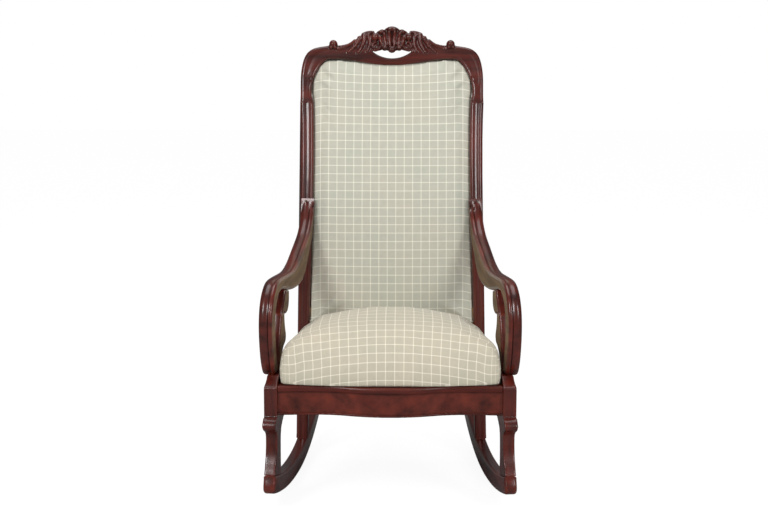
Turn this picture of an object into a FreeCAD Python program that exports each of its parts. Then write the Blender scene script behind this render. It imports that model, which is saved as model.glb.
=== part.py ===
import FreeCAD, Part
import math
import os

# Upholstered rocking chair on curved runners. Millimetres, +Z up, the chair faces -Y.
# X grows to the viewer's right in a front view, and left and right are the viewer's.
# The right-hand side is modelled and mirrored to make the left-hand side.

# Runners
runner_front_radius = 1220
runner_rear_radius = 830
runner_contact_y = -72
runner_height = 42
runner_thickness = 29
runner_nose_y = -405
runner_tail_y = 408
nose_toe = 14

# The plane in which runner, front leg and rear leg stand, and its splay in plan
side_plane_x = 279.5
side_plane_y = -375
side_splay = 6.4

# Front post: seat block, knee scroll and leg
post_back_y = -262
post_neck_y = -338
post_neck_height = 18
block_bottom = 222
block_top = 297
block_thickness = 31.5
neck_thickness = 28.5
leg_thickness = 27.5
foot_thickness = 25.5
knee_reach = 25
leg_hollow = 7
leg_back_inset = 56

# Rear post, from the runner to the crest
stile_foot_z = 40
stile_foot_x = 247
stile_seat_x = 241
stile_waist_x = 238.5
stile_arm_x = 234.5
stile_top_x = 237
stile_foot_width = 30
stile_seat_width = 29
stile_arm_width = 32
stile_top_width = 34
stile_front_foot_y = 45
stile_front_seat_y = 60
stile_front_arm_y = 96
stile_front_top_y = 170
stile_foot_depth = 48
stile_arm_depth = 45

# Crest rail
crest_joint_z = 918
crest_lean = 17.5
crest_thickness = 34
crest_shoulder_rise = 141.5
crest_peak_rise = 48.5
crest_inner_rise = 93
crest_inner_corner_rise = 15
handhold_bar = 14
handhold_reach = 57
handhold_tip_rise = 23
handhold_notch_x = 21
handhold_notch_rise = 25
handhold_lobe_rise = 19
handhold_side_lobe_drop = 5
boss_x = 44
boss_drop = 28
boss_radius = 9.4
boss_height = 6
bud_x = 152
bud_radius = 11
bud_rise = 13.5

# Arms and the scroll pieces inside them
arm_plane_x = 290.5
arm_plane_y = -365
arm_splay = 9.1
arm_thickness = 33
arm_top_z = 533
arm_waist_z = 479
arm_foot_front_y = -332
arm_foot_back_y = -300
scroll_thickness = 30
scroll_joint_z = 445
side_plug_y = -25
side_plug_z = 541
side_plug_radius = 4.5

# Seat frame
rail_bottom = 231
rail_top = 297
rail_end_y = -368
rail_back_y = -335
rail_hollow = 7
rail_bulge = 27
rail_hollow_x = 170
rail_turn_x = 100
veneer_thickness = 1.5
moulding_height = 16
moulding_depth = 26
moulding_projection = 7
moulding_round = 6
bead_height = 5
bead_depth = 16
bead_projection = 3
side_rail_thickness = 36
side_rail_front_x = 256.5
side_rail_rear_x = 221
side_rail_rear_y = 60
rear_rail_y = 66
rear_rail_thickness = 24
back_rail_bottom = 342
back_rail_height = 50
back_rail_y = 82
back_rail_thickness = 22
corner_block_leg = 62
corner_block_height = 42

# Fastenings
dowel_radius = 5
dowel_length = 50
dowel_clearance = 0.15
screw_radius = 2.2
screw_head_radius = 4.2
screw_head_height = 3
screw_length = 36
arm_screw_length = 52
plug_length = 8
plug_radius = 5
tack_head_radius = 3.5
tack_head_height = 0.6
tack_radius = 0.9
tack_length = 9
tack_count = 9

# Seat upholstery
seat_front_x = 262
seat_rear_x = 206
seat_front_y = -366
seat_rear_y = 74
seat_front_bulge = 20
seat_crown_z = 443
cover_thickness = 2.5
webbing_thickness = 1.5
webbing_width = 50
webbing_gap = 22
dust_cover_thickness = 1
spring_radius = 34
spring_waist_radius = 24
spring_wire_radius = 1.9
spring_turns = 4
spring_pitch_x = 112
spring_pitch_y = 112
spring_centre_y = -153
spring_rows = 3
burlap_z = 352
burlap_thickness = 1.5
padding_wall = 46

# Back upholstery
back_cloth_gap = 1
back_bottom_z = 392
back_top_z = 1034
back_crown = 15
back_edge_setback = 5
back_padding_depth = 30
back_web_count = 6
back_web_start = 60
back_web_width = 48
web_clearance = 0.4
outer_cover_thickness = 1.6

far = 900
Vector = FreeCAD.Vector
ORIGIN = Vector(0, 0, 0)
X_AXIS = Vector(1, 0, 0)
Y_AXIS = Vector(0, 1, 0)
Z_AXIS = Vector(0, 0, 1)
pieces = {}


def line(start, end):
    return Part.LineSegment(start, end).toShape()


def arc(start, middle, end):
    return Part.Arc(start, middle, end).toShape()


def curve(*points):
    """A smooth curve through the points."""
    bend = Part.BSplineCurve()
    bend.interpolate(list(points))
    return bend.toShape()


def yz(y, z):
    return Vector(0, y, z)


def xz(x, z):
    return Vector(x, 0, z)


def xy(x, y):
    return Vector(x, y, 0)


def prism(edges, sweep):
    return Part.Face(Part.Wire(edges)).extrude(sweep)


def plank(edges, thickness):
    """A board cut to an outline in the YZ plane, its thickness centred on X = 0."""
    board = prism(edges, X_AXIS * thickness)
    board.translate(X_AXIS * (-thickness / 2))
    return board


def loop(points):
    """Straight edges round a list of corners, back to the first."""
    return [line(points[i - 1], points[i]) for i in range(len(points))]


def box(x0, x1, y0, y1, z0, z1):
    return Part.makeBox(x1 - x0, y1 - y0, z1 - z0, Vector(x0, y0, z0))


def stand_in_plane(shape, plane_x, plane_y, splay):
    """Turn a board about its front end and put it on the right-hand side."""
    placed = shape.copy()
    placed.rotate(Vector(0, plane_y, 0), Z_AXIS, splay)
    placed.translate(X_AXIS * plane_x)
    return placed


def on_side_plane(shape):
    return stand_in_plane(shape, side_plane_x, side_plane_y, side_splay)


def on_arm_plane(shape):
    return stand_in_plane(shape, arm_plane_x, arm_plane_y, arm_splay)


def mirrored(shape):
    return shape.mirror(ORIGIN, X_AXIS)


def add_pair(name, shape):
    pieces[name + "_right"] = shape
    pieces[name + "_left"] = mirrored(shape)


def add_group(name, shapes):
    pieces[name] = Part.makeCompound(shapes)


def drill(names, cutter):
    """Cut the same hole in every named piece."""
    for name in names:
        pieces[name] = pieces[name].cut(cutter)


def both_sides(shape):
    return [shape, mirrored(shape)]


def runner_z(y, rise):
    """Height of the runner's lower edge at y, or of a line that much above it."""
    radius = runner_front_radius if y < runner_contact_y else runner_rear_radius
    return radius - math.sqrt((radius - rise) ** 2 - (y - runner_contact_y) ** 2)


def runner_bottom_z(y):
    return runner_z(y, 0)


def runner_top_z(y):
    return runner_z(y, runner_height)


def runner_curve(y_from, y_to, rise):
    """Front and rear arcs of the runner, tangent where it touches the floor."""
    touch = yz(runner_contact_y, rise)
    edges = []
    for start, end in ((yz(y_from, runner_z(y_from, rise)), touch), (touch, yz(y_to, runner_z(y_to, rise)))):
        middle_y = (start.y + end.y) / 2
        edges.append(arc(start, yz(middle_y, runner_z(middle_y, rise)), end))
    return edges


def make_runners():
    nose = runner_nose_y
    tail = runner_tail_y
    toe_z = runner_bottom_z(nose)
    bottom_nose = yz(nose + nose_toe, runner_bottom_z(nose + nose_toe))
    bottom_tail = yz(tail - 3, runner_bottom_z(tail - 3))
    top_tail = yz(tail - 26, runner_top_z(tail - 26))
    top_nose = yz(nose + 9, runner_top_z(nose + 9))
    tail_cap = arc(bottom_tail, yz(tail, (bottom_tail.z + top_tail.z) / 2 - 4), top_tail)
    nose_cap = curve(top_nose, yz(nose + 4, toe_z + 26), yz(nose, toe_z + 14), bottom_nose)
    edges = (runner_curve(bottom_nose.y, bottom_tail.y, 0) + [tail_cap]
             + list(reversed(runner_curve(top_nose.y, top_tail.y, runner_height))) + [nose_cap])
    add_pair("rocker", on_side_plane(plank(edges, runner_thickness)))


def under_runner_top():
    """Everything below the upper edge of the runner, to seat the legs on it."""
    ahead = runner_nose_y - 60
    behind = runner_tail_y
    corners = [yz(behind, runner_top_z(behind)), yz(behind, -60), yz(ahead, -60), yz(ahead, runner_top_z(ahead))]
    sides = [line(start, end) for start, end in zip(corners, corners[1:])]
    edges = runner_curve(ahead, behind, runner_height) + sides
    return on_side_plane(plank(edges, 200))


def make_front_legs():
    front = side_plane_y
    back = post_back_y
    leg_back = back - leg_back_inset
    neck_top = block_top + post_neck_height
    foot_z = runner_top_z(front) - 20
    knee = front - knee_reach
    edges = [
        line(yz(post_neck_y, neck_top), yz(back, neck_top)),
        line(yz(back, neck_top), yz(back, block_bottom)),
        curve(yz(back, block_bottom), yz(back - 18, block_bottom - 15), yz(leg_back + 8, 182),
              yz(leg_back, 152), yz(leg_back + 1, 115), yz(leg_back + 5, runner_height)),
        line(yz(leg_back + 5, runner_height), yz(front - 27, foot_z)),
        curve(yz(front - 27, foot_z), yz(front - 19, foot_z + 34), yz(front - 4, 118),
              yz(front + leg_hollow, 150), yz(front + 3, 183), yz(knee + 14, 192),
              yz(knee, 204), yz(knee + 8, block_bottom - 4), yz(front + 2, block_bottom)),
        line(yz(front + 2, block_bottom), yz(front, block_bottom + 2)),
        line(yz(front, block_bottom + 2), yz(front, block_top - 5)),
        curve(yz(front, block_top - 5), yz(front + 6, block_top), yz(front + 21, block_top + 8),
              yz(post_neck_y, neck_top)),
    ]
    side_cut = plank(edges, block_thickness)
    half = [(foot_thickness / 2, runner_height - 10), (foot_thickness / 2, 90), (leg_thickness / 2, 140),
            (leg_thickness / 2, 180), (block_thickness / 2, 206), (block_thickness / 2, block_top - 3),
            (neck_thickness / 2, block_top + 4), (neck_thickness / 2, neck_top + 5)]
    corners = [Vector(x, -far, z) for x, z in half] + [Vector(-x, -far, z) for x, z in reversed(half)]
    front_cut = prism(loop(corners), Y_AXIS * far)
    leg = on_side_plane(side_cut.common(front_cut)).cut(under_runner_top())
    add_pair("front_leg", leg)


def stile_z(share):
    """A height on the stile, as a share of the way up to the crest joint."""
    return crest_joint_z * share


def stile_front():
    """Side view of the stile's front edge, from foot to crest, as points."""
    seat, arm = stile_front_seat_y, stile_front_arm_y
    return [yz(stile_front_foot_y, stile_foot_z), yz(stile_front_foot_y + 5, stile_z(0.1852)),
            yz(seat, stile_z(0.3268)), yz(seat + (arm - seat) * 0.361, stile_z(0.4575)),
            yz(arm, stile_z(0.6536)), yz(arm + (stile_front_top_y - arm) * 0.405, stile_z(0.817)),
            yz(stile_front_top_y, crest_joint_z)]


def stile_back():
    top_depth = crest_thickness / math.cos(math.radians(crest_lean))
    depths = [stile_foot_depth, stile_foot_depth, stile_foot_depth + 1, stile_foot_depth - 1,
              stile_arm_depth, stile_arm_depth - 4, top_depth]
    return [point + Y_AXIS * depth for point, depth in zip(stile_front(), depths)]


def stile_outside():
    """Front view of the stile's outer edge, as points on the right-hand side."""
    return [xz(stile_foot_x, stile_foot_z), xz((stile_foot_x + stile_seat_x) / 2, stile_z(0.1852)),
            xz(stile_seat_x, stile_z(0.3595)), xz(stile_waist_x, stile_z(0.5229)),
            xz(stile_arm_x, stile_z(0.7407)), xz(stile_arm_x, stile_z(0.915)),
            xz(stile_top_x, crest_joint_z)]


def stile_inside():
    widths = [stile_foot_width, stile_foot_width, stile_seat_width, stile_seat_width + 1,
              stile_arm_width, stile_arm_width + 1, stile_top_width]
    return [point - X_AXIS * width for point, width in zip(stile_outside(), widths)]


def make_stiles():
    front = stile_front()
    back = stile_back()
    side_cut = prism([curve(*front), line(front[-1], back[-1]), curve(*reversed(back)),
                      line(back[0], front[0])], X_AXIS * far)
    outside = stile_outside()
    inside = stile_inside()
    front_cut = prism([curve(*outside), line(outside[-1], inside[-1]), curve(*reversed(inside)),
                       line(inside[0], outside[0])], Y_AXIS * far)
    add_pair("rear_stile", side_cut.common(front_cut).cut(under_runner_top()))


def behind_stile_front():
    """Everything behind the front edges of the stiles, over the whole width."""
    front = stile_front()
    edges = [curve(*front), line(front[-1], yz(far, crest_joint_z)),
             line(yz(far, crest_joint_z), yz(far, stile_foot_z)), line(yz(far, stile_foot_z), front[0])]
    return plank(edges, far)


def between_stiles():
    """The space between the inner faces of the two stiles."""
    right = stile_inside()
    left = [xz(-point.x, point.z) for point in right]
    edges = [curve(*right), line(right[-1], left[-1]), curve(*reversed(left)), line(left[0], right[0])]
    space = prism(edges, Y_AXIS * far)
    space.translate(Y_AXIS * (-far / 2))
    return space


crest_shoulder_z = crest_joint_z + crest_shoulder_rise
crest_peak_z = crest_shoulder_z + crest_peak_rise
crest_inner_centre_z = crest_joint_z + crest_inner_rise
crest_inner_corner_z = crest_inner_centre_z + crest_inner_corner_rise
handhold_bottom_z = crest_inner_centre_z + handhold_bar


def crest_v(z):
    """Distance up the leaning crest from its joint, for a height on its front face."""
    return (z - crest_joint_z) / math.cos(math.radians(crest_lean))


def lean_crest(shape):
    """Stand a shape drawn upright in front of Y = 0 on the stiles, leaning back."""
    placed = shape.copy()
    placed.rotate(ORIGIN, X_AXIS, -crest_lean)
    placed.translate(Vector(0, stile_front_top_y, crest_joint_z))
    return placed


def crest_point(x, z):
    return xz(x, crest_v(z))


def mirrored_edges(edges):
    """The same edges on the left-hand side, in the order that closes the outline."""
    return [mirrored(edge) for edge in reversed(edges)]


def crest_outer_edges():
    """Outer outline of the right half, from the middle of the shell down to the joint."""
    p = crest_point
    shoulder = crest_shoulder_z
    end = stile_top_x
    return [
        arc(p(0, crest_peak_z), p(13, crest_peak_z - 3), p(24, crest_peak_z - 12)),
        arc(p(24, crest_peak_z - 12), p(33, crest_peak_z - 10), p(41, crest_peak_z - 17)),
        curve(p(41, crest_peak_z - 17), p(58, crest_peak_z - 18), p(82, shoulder + 25),
              p(105, shoulder + 8), p(bud_x - bud_radius, shoulder + 1)),
        arc(p(bud_x - bud_radius, shoulder + 1), p(bud_x, shoulder + bud_rise),
            p(bud_x + bud_radius, shoulder + 0.5)),
        curve(p(bud_x + bud_radius, shoulder + 0.5), p(end - 48, shoulder - 3), p(end - 29, shoulder - 9),
              p(end - 15, shoulder - 21), p(end - 6.5, shoulder - 40), p(end - 0.5, crest_joint_z + 51),
              p(end, crest_joint_z)),
    ]


def crest_inner_edges(inset):
    """Lower edge of the right half, from the joint in to the middle, moved inwards by the inset."""
    p = crest_point
    inner_x = stile_top_x - stile_top_width - inset
    corner = crest_inner_corner_z - inset
    centre = crest_inner_centre_z - inset
    return [
        curve(p(inner_x, crest_joint_z), p(inner_x, crest_joint_z + 59), p(inner_x - 10, corner - 28),
              p(inner_x - 22, corner - 11),
              p(inner_x - 36, corner)),
        curve(p(inner_x - 36, corner), p(inner_x - 77, corner), p(68, centre + 6), p(0, centre)),
    ]


def crest_end(x_from, x_to):
    """A short foot below the joint height, cut off level afterwards."""
    drop = -40
    return [line(xz(x_from, 0), xz(x_from, drop)), line(xz(x_from, drop), xz(x_to, drop)),
            line(xz(x_to, drop), xz(x_to, 0))]


def make_handhold():
    """The opening that the hand goes through, pierced level, with a scalloped upper edge."""
    bottom = handhold_bottom_z
    tip = xz(handhold_reach, bottom + handhold_tip_rise)
    far_tip = xz(-handhold_reach, bottom + handhold_tip_rise)
    notch = xz(handhold_notch_x, bottom + handhold_notch_rise)
    far_notch = xz(-handhold_notch_x, bottom + handhold_notch_rise)
    lobe_x = (handhold_reach + handhold_notch_x) / 2
    lobe_z = bottom + handhold_notch_rise - handhold_side_lobe_drop
    edges = [
        arc(far_tip, xz(0, bottom), tip),
        arc(tip, xz(lobe_x, lobe_z), notch),
        arc(notch, xz(0, bottom + handhold_lobe_rise), far_notch),
        arc(far_notch, xz(-lobe_x, lobe_z), far_tip),
    ]
    return prism(edges, Y_AXIS * far)


def make_crest():
    outer = crest_outer_edges()
    inner = crest_inner_edges(0)
    inner_x = stile_top_x - stile_top_width
    edges = (outer + crest_end(stile_top_x, inner_x) + inner + mirrored_edges(inner)
             + crest_end(-inner_x, -stile_top_x) + mirrored_edges(outer))
    crest = prism(edges, Y_AXIS * crest_thickness)
    for x in (-boss_x, boss_x):
        behind = crest_point(x, crest_peak_z - boss_drop) + Y_AXIS * 2
        boss = Part.makeCylinder(boss_radius, boss_height + 2, behind, -Y_AXIS)
        crest = crest.fuse(boss)
    below_joint = box(-far, far, -far, far, 0, crest_joint_z)
    pieces["crest_rail"] = lean_crest(crest).cut(below_joint).cut(make_handhold())


def arm_point(y, z):
    """A point of the arm's side view, for a true depth y."""
    return yz(arm_plane_y + (y - arm_plane_y) / math.cos(math.radians(arm_splay)), z)


def make_arms():
    p = arm_point
    foot_z = block_top + post_neck_height
    top = arm_top_z
    waist = arm_waist_z
    outer = curve(p(arm_foot_front_y, foot_z), p(-351, 345), p(-363, 385), p(-368, 427), p(-364, 465),
                  p(-350, 496), p(-326, 519), p(-295, top - 1), p(-255, top + 1), p(-195, top - 2),
                  p(-135, top - 3), p(-75, 542), p(-30, 560), p(20, 581), p(45, 593), p(66, 609),
                  p(85, 630), p(100, 657), p(117, 702))
    inner = curve(p(94, 588), p(70, 562), p(45, 538), p(12, 507), p(-25, 487), p(-80, waist),
                  p(-135, waist + 3), p(-190, 491), p(-230, 500), p(-268, 502), p(-299, 490),
                  p(-317, 468), p(-325, 438), p(-324, 402), p(-317, 366), p(-309, 338),
                  p(arm_foot_back_y, foot_z))
    edges = [outer, line(p(117, 702), p(140, 702)), line(p(140, 702), p(140, 588)),
             line(p(140, 588), p(94, 588)), inner,
             line(p(arm_foot_back_y, foot_z), p(arm_foot_front_y, foot_z))]
    arm = on_arm_plane(plank(edges, arm_thickness)).cut(behind_stile_front())
    add_pair("arm", arm)


def make_scroll_pieces():
    p = arm_point
    joint = scroll_joint_z
    foot_z = block_top + post_neck_height
    back = post_back_y
    upper = [
        line(p(-258, joint), p(-226, joint)),
        curve(p(-226, joint), p(-212, 437), p(-196, 440), p(-183, 452), p(-178, 468), p(-181, 505)),
        line(p(-181, 505), p(-216, 505)),
        curve(p(-216, 505), p(-222, 488), p(-236, 467), p(-258, joint)),
    ]
    lower = [
        line(p(-226, joint), p(-258, joint)),
        curve(p(-258, joint), p(-270, 420), p(-279, 392), p(-286, 362), p(-293, 335), p(-300, foot_z)),
        line(p(-300, foot_z), p(back, foot_z)),
        curve(p(back, foot_z), p(back - 2, 335), p(-251, 354), p(-236, 364), p(-220, 371),
              p(-214, 385), p(-220, 402), p(-226, 420), p(-226, joint)),
    ]
    for name, edges in (("arm_scroll_upper", upper), ("arm_scroll_lower", lower)):
        scroll = on_arm_plane(plank(edges, scroll_thickness)).cut(pieces["arm_right"])
        add_pair(name, max(scroll.Solids, key=lambda solid: solid.Volume))


def rail_end_x():
    return side_plane_x


def serpentine(end_y):
    """The front rail's curve in plan, from the left end to the right end."""
    hollow_y = end_y + rail_hollow
    crown_y = hollow_y - rail_bulge
    end_x = rail_end_x()
    turn_y = crown_y + rail_bulge * rail_turn_x / rail_hollow_x
    turn = xy(rail_turn_x, turn_y)
    hollow = xy(rail_hollow_x, hollow_y)
    into_hollow = xy((rail_turn_x + rail_hollow_x) / 2, hollow_y - (hollow_y - turn_y) / 4)
    to_end = xy((rail_hollow_x + end_x) / 2, hollow_y - rail_hollow / 4)
    right = [arc(turn, into_hollow, hollow), arc(hollow, to_end, xy(end_x, end_y))]
    left_turn = xy(-rail_turn_x, turn_y)
    return mirrored_edges(right) + [arc(left_turn, xy(0, crown_y), turn)] + right


def serpentine_band(front_end_y, back_edges_y, bottom, height):
    """A band from a serpentine front to a straight back."""
    end_x = rail_end_x()
    edges = serpentine(front_end_y) + [
        line(xy(end_x, front_end_y), xy(end_x, back_edges_y)),
        line(xy(end_x, back_edges_y), xy(-end_x, back_edges_y)),
        line(xy(-end_x, back_edges_y), xy(-end_x, front_end_y))]
    band = prism(edges, Z_AXIS * height)
    band.translate(Z_AXIS * bottom)
    return band


def post_region():
    """Everything outside and behind the inner faces of the two front posts."""
    block = box(-block_thickness / 2, far, -far, post_back_y, -far, far)
    return both_sides(on_side_plane(block))


def cut_all(shape, cutters):
    for cutter in cutters:
        shape = shape.cut(cutter)
    return shape


def between_curves(front_end_y, depth, bottom, height):
    """A strip that follows the serpentine at both faces."""
    outer = serpentine_band(front_end_y, rail_back_y, bottom, height)
    inner = serpentine_band(front_end_y + depth, rail_back_y, bottom, height)
    return outer.cut(inner)


def rounded_front(strip, front_end_y, radius):
    """Round the long front edges of a moulding strip."""
    face_edges = []
    for edge in strip.Edges:
        box_of_edge = edge.BoundBox
        level = box_of_edge.ZLength < 0.01
        curved = isinstance(edge.Curve, Part.Circle)
        ahead = abs(edge.CenterOfMass.y - front_y_at(edge.CenterOfMass.x, front_end_y)) < moulding_projection / 2
        if level and curved and ahead:
            face_edges.append(edge)
    return strip.makeFillet(radius, face_edges)


def front_y_at(x, end_y):
    """Depth of the serpentine at x, near enough to tell front edges from back ones."""
    section = Part.Wire(serpentine(end_y))
    probe = line(xy(x, -far), xy(x, far))
    return section.distToShape(probe)[1][0][0].y


def make_front_rail():
    posts = post_region()
    core = serpentine_band(rail_end_y + veneer_thickness, rail_back_y, rail_bottom, rail_top - rail_bottom)
    moulding_bottom = rail_top - moulding_height
    moulding_y = rail_end_y - moulding_projection
    moulding = between_curves(moulding_y, moulding_depth, moulding_bottom, moulding_height)
    moulding = cut_all(rounded_front(moulding, moulding_y, moulding_round), posts)
    veneer = between_curves(rail_end_y, veneer_thickness, rail_bottom, moulding_bottom - rail_bottom)
    bead_y = rail_end_y - bead_projection
    bead = between_curves(bead_y, bead_depth, rail_bottom - bead_height, bead_height)
    bead = cut_all(bead, posts)
    pieces["front_rail"] = cut_all(core, posts).cut(moulding)
    pieces["front_rail_moulding"] = moulding
    pieces["front_rail_bead"] = bead
    right_leaf = cut_all(veneer, posts).cut(box(-far, 0, -far, far, 0, far))
    add_group("front_rail_veneer", both_sides(right_leaf))


def side_rail_face_x(y, side):
    """X of the side rail's centre line at y, moved by half its thickness to either side."""
    slope = (side_rail_front_x - side_rail_rear_x) / (side_rail_rear_y - post_back_y)
    centre = side_rail_rear_x + slope * (side_rail_rear_y - y)
    across = side_rail_thickness / 2 * math.hypot(1, slope)
    return centre + side * across


def make_side_rails():
    y0 = post_back_y - 60
    y1 = side_rail_rear_y + 60
    corners = [Vector(side_rail_face_x(y0, 1), y0, rail_bottom), Vector(side_rail_face_x(y1, 1), y1, rail_bottom),
               Vector(side_rail_face_x(y1, -1), y1, rail_bottom), Vector(side_rail_face_x(y0, -1), y0, rail_bottom)]
    rail = prism(loop(corners), Z_AXIS * (rail_top - rail_bottom))
    ahead_of_post = on_side_plane(box(-far, far, -2 * far, post_back_y, -far, far))
    add_pair("side_rail", rail.cut(ahead_of_post).cut(behind_stile_front()))


def make_cross_rails():
    inside = between_stiles()
    rear = box(-far, far, rear_rail_y, rear_rail_y + rear_rail_thickness, rail_bottom, rail_top)
    pieces["rear_rail"] = rear.common(inside)
    top = back_rail_bottom + back_rail_height
    back = box(-far, far, back_rail_y, back_rail_y + back_rail_thickness, back_rail_bottom, top)
    pieces["back_bottom_rail"] = back.common(inside)


def make_corner_blocks():
    top = rail_top - 10
    bottom = top - corner_block_height
    leg = corner_block_leg
    front_y = rail_back_y
    rear_y = rear_rail_y
    for name, y, step in (("corner_block_front", front_y, leg), ("corner_block_rear", rear_y, -leg)):
        if step > 0:
            corner_x = post_inner_x(y)
            along_x = post_inner_x(y + step)
        else:
            corner_x = side_rail_face_x(y, -1)
            along_x = side_rail_face_x(y + step, -1)
        corners = [Vector(corner_x, y, bottom), Vector(corner_x - leg, y, bottom),
                   Vector(along_x, y + step, bottom)]
        add_pair(name, prism(loop(corners), Z_AXIS * (top - bottom)))


def post_inner_x(y):
    """X of the seat block's inner face at depth y."""
    angle = math.radians(side_splay)
    return side_plane_x - (y - side_plane_y) * math.tan(angle) - block_thickness / 2 / math.cos(angle)


def dowel(centre, direction, mates, radius=dowel_radius, length=dowel_length):
    """A dowel centred on a joint, with its hole cut in the pieces that it joins."""
    axis = Vector(direction).normalize()
    start = centre - axis * (length / 2)
    hole = Part.makeCylinder(radius + dowel_clearance, length + 2, start - axis, axis)
    drill([name + "_right" if name + "_right" in pieces else name for name in mates], hole)
    drill([name + "_left" if name + "_left" in pieces else name for name in mates], mirrored(hole))
    return both_sides(Part.makeCylinder(radius, length, start, axis))


def side_plane_point(y, z):
    """A point in the middle of the side plane, for a distance y along the board."""
    angle = math.radians(side_splay)
    run = y - side_plane_y
    return Vector(side_plane_x - run * math.sin(angle), side_plane_y + run * math.cos(angle), z)


def make_dowels():
    legs = []
    for y in (-372, -325):
        legs += dowel(side_plane_point(y, runner_top_z(y)), Z_AXIS, ("rocker", "front_leg"))
    for y in (58, 82):
        centre = side_plane_point(y, runner_top_z(y))
        legs += dowel(centre, Z_AXIS, ("rocker", "rear_stile"))
    add_group("leg_dowels", legs)

    rails = []
    for z in (rail_bottom + 18, rail_top - 26):
        rail_y = (rail_end_y + rail_back_y) / 2
        rails += dowel(Vector(post_inner_x(rail_y), rail_y, z), X_AXIS, ("front_rail", "front_leg"), length=26)
        side_x = side_rail_face_x(post_back_y, 0.35)
        rails += dowel(Vector(side_x, post_back_y, z), Y_AXIS, ("side_rail", "front_leg"))
        rear_x = side_rail_rear_x + 4
        rails += dowel(Vector(rear_x, stile_front_seat_y, z), Y_AXIS, ("side_rail", "rear_stile"))
    for z in (rail_bottom + 29.5, rail_top - 10):
        rear_y = rear_rail_y + rear_rail_thickness / 2
        rear_x = stile_seat_x - stile_seat_width
        rails += dowel(Vector(rear_x, rear_y, z), X_AXIS, ("rear_rail", "rear_stile"), length=36)
    for z in (back_rail_bottom + 12, back_rail_bottom + back_rail_height - 12):
        back_y = back_rail_y + back_rail_thickness / 2
        rails += dowel(Vector(stile_seat_x - stile_seat_width, back_y, z), X_AXIS,
                       ("back_bottom_rail", "rear_stile"), length=36)
    add_group("rail_dowels", rails)

    crest = []
    lean = Vector(0, math.sin(math.radians(crest_lean)), math.cos(math.radians(crest_lean)))
    middle_y = stile_front_top_y + crest_thickness / math.cos(math.radians(crest_lean)) / 2
    for x in (stile_top_x - stile_top_width + 9, stile_top_x - 9):
        crest += dowel(Vector(x, middle_y, crest_joint_z), lean, ("crest_rail", "rear_stile"), radius=4)
    add_group("crest_dowels", crest)

    foot = on_arm_plane(Part.Vertex(arm_point((arm_foot_front_y + arm_foot_back_y) / 2, 0))).Point
    foot_z = block_top + post_neck_height
    add_group("arm_dowels", dowel(Vector(foot.x - 3, foot.y, foot_z), Z_AXIS, ("arm", "front_leg"), length=44))


def screw(start, direction, length, mates, mouth):
    """A screw with a round head, in a counterbored hole that opens at the mouth."""
    axis = Vector(direction).normalize()
    shank = Part.makeCylinder(screw_radius, length, start, axis)
    head = Part.makeCylinder(screw_head_radius, screw_head_height, start - axis * screw_head_height, axis)
    hole = Part.makeCylinder(screw_radius, length, start, axis)
    bore = Part.makeCylinder(plug_radius, mouth + screw_head_height, start, -axis)
    cutter = hole.fuse(bore)
    drill([name + "_right" if name + "_right" in pieces else name for name in mates], cutter)
    drill([name + "_left" if name + "_left" in pieces else name for name in mates], mirrored(cutter))
    return both_sides(shank.fuse(head))


def make_screws():
    blocks = []
    inset = corner_block_leg * 0.42
    wood = 16
    z = (rail_bottom + rail_top) / 2 - 4
    front_x = post_inner_x(rail_back_y) - inset
    blocks += screw(Vector(front_x, rail_back_y + wood, z), -Y_AXIS, screw_length, ("corner_block_front", "front_rail"), 40)
    side_y = rail_back_y + inset
    blocks += screw(Vector(post_inner_x(side_y) - wood, side_y, z), X_AXIS, screw_length,
                    ("corner_block_front", "front_leg"), 40)
    rear_x = side_rail_face_x(rear_rail_y, -1) - inset
    blocks += screw(Vector(rear_x, rear_rail_y - wood, z), Y_AXIS, screw_length, ("corner_block_rear", "rear_rail"), 40)
    rear_y = rear_rail_y - inset
    blocks += screw(Vector(side_rail_face_x(rear_y, -1) - wood, rear_y, z), X_AXIS, screw_length,
                    ("corner_block_rear", "side_rail"), 40)
    add_group("corner_block_screws", blocks)

    screws = []
    plugs = []
    x = (stile_waist_x + stile_arm_x) / 2 - stile_arm_width / 2
    for z, back_y in ((610, stile_front_arm_y + stile_arm_depth + 2), (668, stile_front_arm_y + stile_arm_depth + 13)):
        start = Vector(x, back_y - plug_length - screw_head_height - 2, z)
        screws += screw(start, -Y_AXIS, arm_screw_length, ("rear_stile", "arm"), 60)
        plug = Part.makeCylinder(plug_radius, 60, start + Y_AXIS * screw_head_height, Y_AXIS)
        back = prism([curve(*stile_back()), line(stile_back()[-1], yz(-far, crest_joint_z)),
                      line(yz(-far, crest_joint_z), yz(-far, stile_foot_z)),
                      line(yz(-far, stile_foot_z), stile_back()[0])], X_AXIS * far)
        plugs += both_sides(plug.common(back))
    add_group("arm_screws", screws)
    add_group("arm_screw_plugs", plugs)

    plug = Part.makeCylinder(side_plug_radius, plug_length, arm_point(side_plug_y, side_plug_z)
                             - X_AXIS * (arm_thickness / 2), X_AXIS)
    side_plug = mirrored(on_arm_plane(plug))
    drill(["arm_left"], side_plug)
    pieces["arm_side_plug"] = side_plug


# Seat dome, level by level: height, then how far the outline has come in at the front, at the
# sides and at the rear, the radius of its front and rear corners, and how far its front still bows
seat_levels = [
    (rail_top, 0, 0, 0, 16, 16, 1.0),
    (320, -5, -1, 0, 20, 22, 1.05),
    (345, -6, -2, 6, 24, 46, 1.1),
    (370, -3, -1, 26, 30, 90, 1.1),
    (388, 5, 4, 58, 40, 122, 1.0),
    (403, 17, 26, 102, 56, 132, 0.9),
    (415, 34, 60, 148, 66, 112, 0.8),
    (426, 60, 98, 186, 66, 84, 0.6),
    (435, 96, 140, 220, 50, 52, 0.5),
    (seat_crown_z, 140, 180, 244, 18, 18, 0.3),
]


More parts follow.
